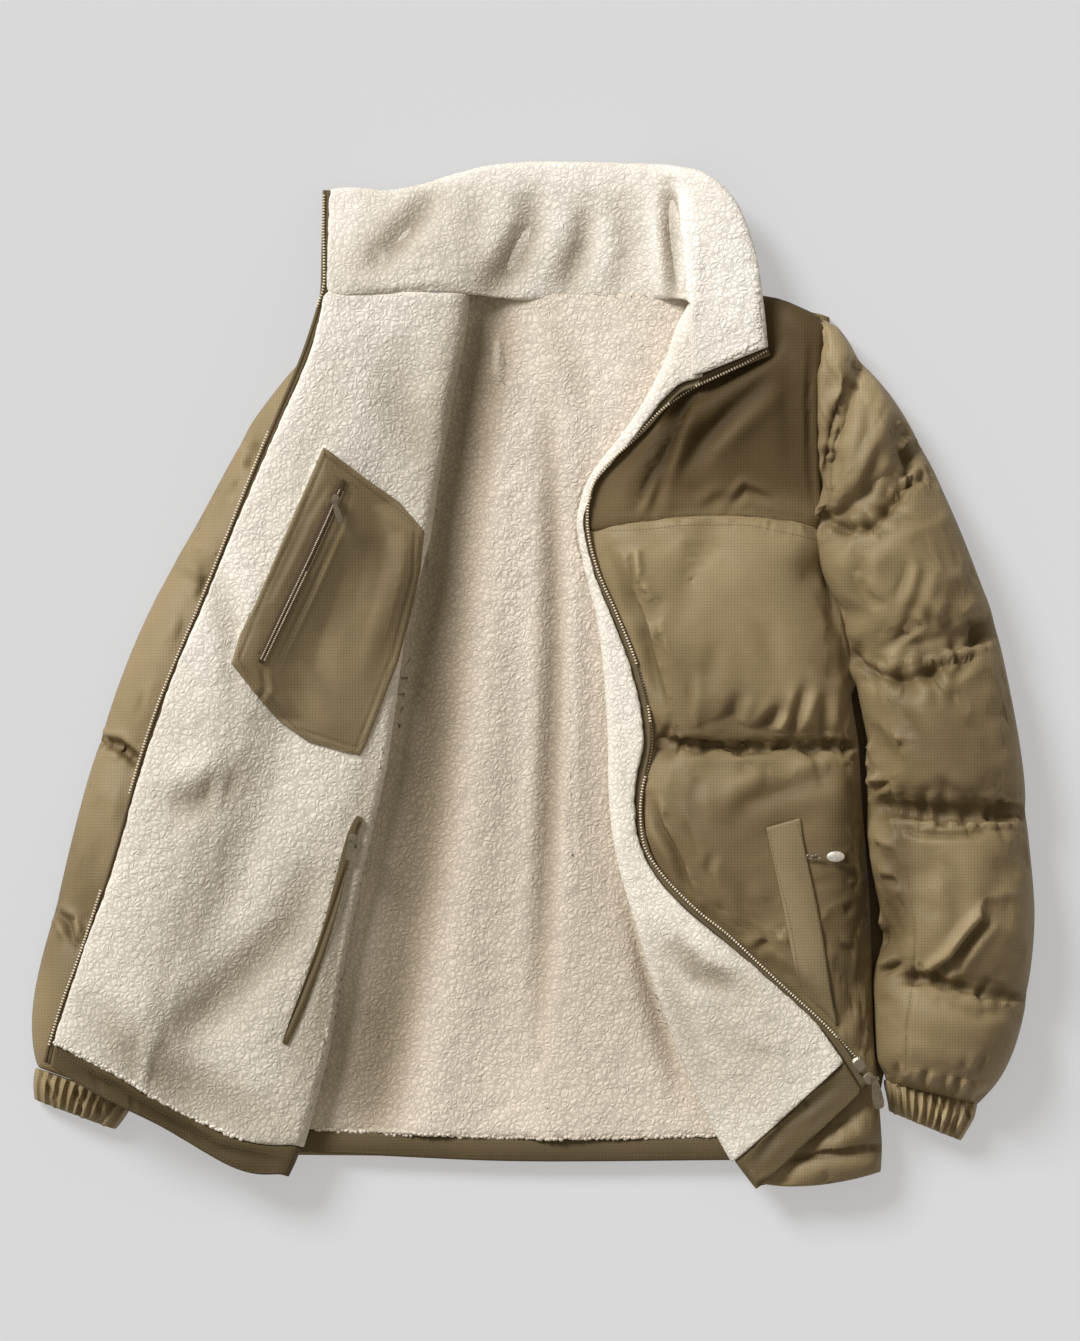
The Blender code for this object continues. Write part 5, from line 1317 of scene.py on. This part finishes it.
# %% Stitches
every_cloth = tree_of(front_outer, yoke, sleeve, under_sleeve, flap_hem, front_hem, pocket,
                      *small_cloth.values())
STITCH_LINES = [
    [(597, 517), (640, 517), (682, 515), (720, 515), (755, 516), (787, 523), (816, 529)],
    [(597, 530), (642, 530), (677, 526), (715, 525), (750, 526), (785, 533), (817, 540)],
    [(790, 1161), (830, 1157), (883, 1151)],
    POCKET_EDGE,
    [(350, 494), (342, 524), (316, 588), (280, 664)],
    [(336, 477), (357, 487)], [(332, 485), (353, 495)],
    [(768, 832), (776, 868), (790, 925), (800, 985)],
    [(797, 824), (806, 860), (818, 925), (828, 985), (836, 1026)],
    [(60, 1050), (110, 1080), (165, 1112), (215, 1140), (292, 1158)],
    [(60, 1066), (128, 1106), (180, 1129), (240, 1168), (288, 1172)],
    [(745, 1172), (775, 1142), (805, 1112), (842, 1078)],
    [(310, 1152), (440, 1155), (560, 1156), (725, 1157)],
    [(318, 1134), (400, 1138), (540, 1142), (715, 1141)],
    LENGTH_SEAM,
]
STITCH_PITCH, ABOVE_CLOTH = 3.1, 0.05   # both in millimetres
stitch_places = []
for line in STITCH_LINES:
    stitch_places += stand_on(every_cloth, walk(line, STITCH_PITCH), ABOVE_CLOTH)
stitches = many("stitches", stitch, stitch_places)
ride_small(stitches, thread_finish)
for pattern in (tooth, stitch, bead):
    bpy.data.objects.remove(pattern)

# %% Tufts along the raw edges of the pile
TUFT_LINES = [
    (flap_fleece, fleece, [(57, 1041), (112, 1069), (170, 1106), (200, 1120), (260, 1146),
                           (296, 1151)]),
    (back_lining, back_fleece, [(316, 1131), (400, 1135), (500, 1139), (620, 1139),
                                (716, 1137)]),
    (lapel, fleece, [(734, 1162), (770, 1131), (805, 1098), (846, 1062)]),
    (collar, collar_fleece, [(757, 292), (759, 320), (760, 342)]),
    (collar, collar_fleece, [(704, 368), (732, 355), (756, 345)]),
]
TUFT_PITCH, SUNK = 2.3, -0.5            # both in millimetres
FIRST_SEED = 50
for number, (pile_piece, finish, line) in enumerate(TUFT_LINES):
    chance = random.Random(number + FIRST_SEED)
    ground = tree_of(pile_piece)
    places = []
    for inset in (-1.4, 0.4):
        for place in stand_on(ground, walk(line, TUFT_PITCH, inset), SUNK):
            spin = Matrix.Rotation(chance.uniform(-0.8, 0.8), 4, "Z")
            size = Matrix.Diagonal((*[chance.uniform(0.8, 1.5) for _ in range(3)], 1))
            shift = Matrix.Translation((chance.uniform(-0.8, 0.8) * MM,
                                        chance.uniform(-1.2, 1.2) * MM, 0))
            places.append(place @ shift @ spin @ size)
    tufts = many("pile_tufts_%d" % number, tuft, places)
    paint_shading(tufts, [])
    ride_small(tufts, finish)
bpy.data.objects.remove(tuft)

# %% Chain and tip of the hand pocket's pull
LINK_PLACES = ((2.0, 0.3), (5.4, 1.2), (8.8, 0.2))     # millimetres from its left end, and turn
low, high = (Vector(corner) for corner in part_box("hand_pocket_pull"))
middle = (low + high) / 2
parts = []
for along, turn in LINK_PLACES:
    bpy.ops.object.select_all(action="DESELECT")
    bpy.ops.mesh.primitive_torus_add(major_radius=0.0021, minor_radius=0.0006,
                                     major_segments=20, minor_segments=8,
                                     location=(low.x + along * MM, middle.y, middle.z),
                                     rotation=(turn, 0, 0))
    parts.append(bpy.context.object)
    parts[-1].scale = (1.25, 0.8, 1)
bpy.ops.object.select_all(action="DESELECT")
for part in parts:
    part.select_set(True)
bpy.context.view_layer.objects.active = parts[0]
bpy.ops.object.join()
bpy.ops.object.transform_apply(location=True, rotation=True, scale=True)
links = bpy.context.object
links.name = "hand_pull_links"
bpy.ops.object.select_all(action="DESELECT")
bpy.ops.mesh.primitive_uv_sphere_add(segments=24, ring_count=14, radius=0.5,
                                     location=(high.x - 7.6 * MM, middle.y, middle.z))
tip = bpy.context.object
tip.name = "hand_pull_tip"
tip.scale = (15.0 * MM, 9.0 * MM, 3.0 * MM)
bpy.ops.object.transform_apply(location=True, rotation=True, scale=True)
for part, finish, slot in ((links, dark_metal, "dark_metal"), (tip, pale_tip, "pale_pull")):
    only(part)
    bpy.ops.object.shade_smooth()
    part.data.materials.append(finish)
    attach(part, "hand_pocket_pull")
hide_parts("hand_pocket_pull")
print("hand pull from", round(low.x / MM, 1), "to", round(high.x / MM, 1), "mm")

# %% Sliders and pulls keep their solids and get their metal
for node in ("zip_slider", "zip_pin_box", "zip_pull", "chest_pocket_slider",
             "chest_pocket_pull", "lining_pocket_slider", "lining_pocket_pull"):
    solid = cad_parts[node]
    solid.data.materials.clear()
    solid.data.materials.append(dark_metal)
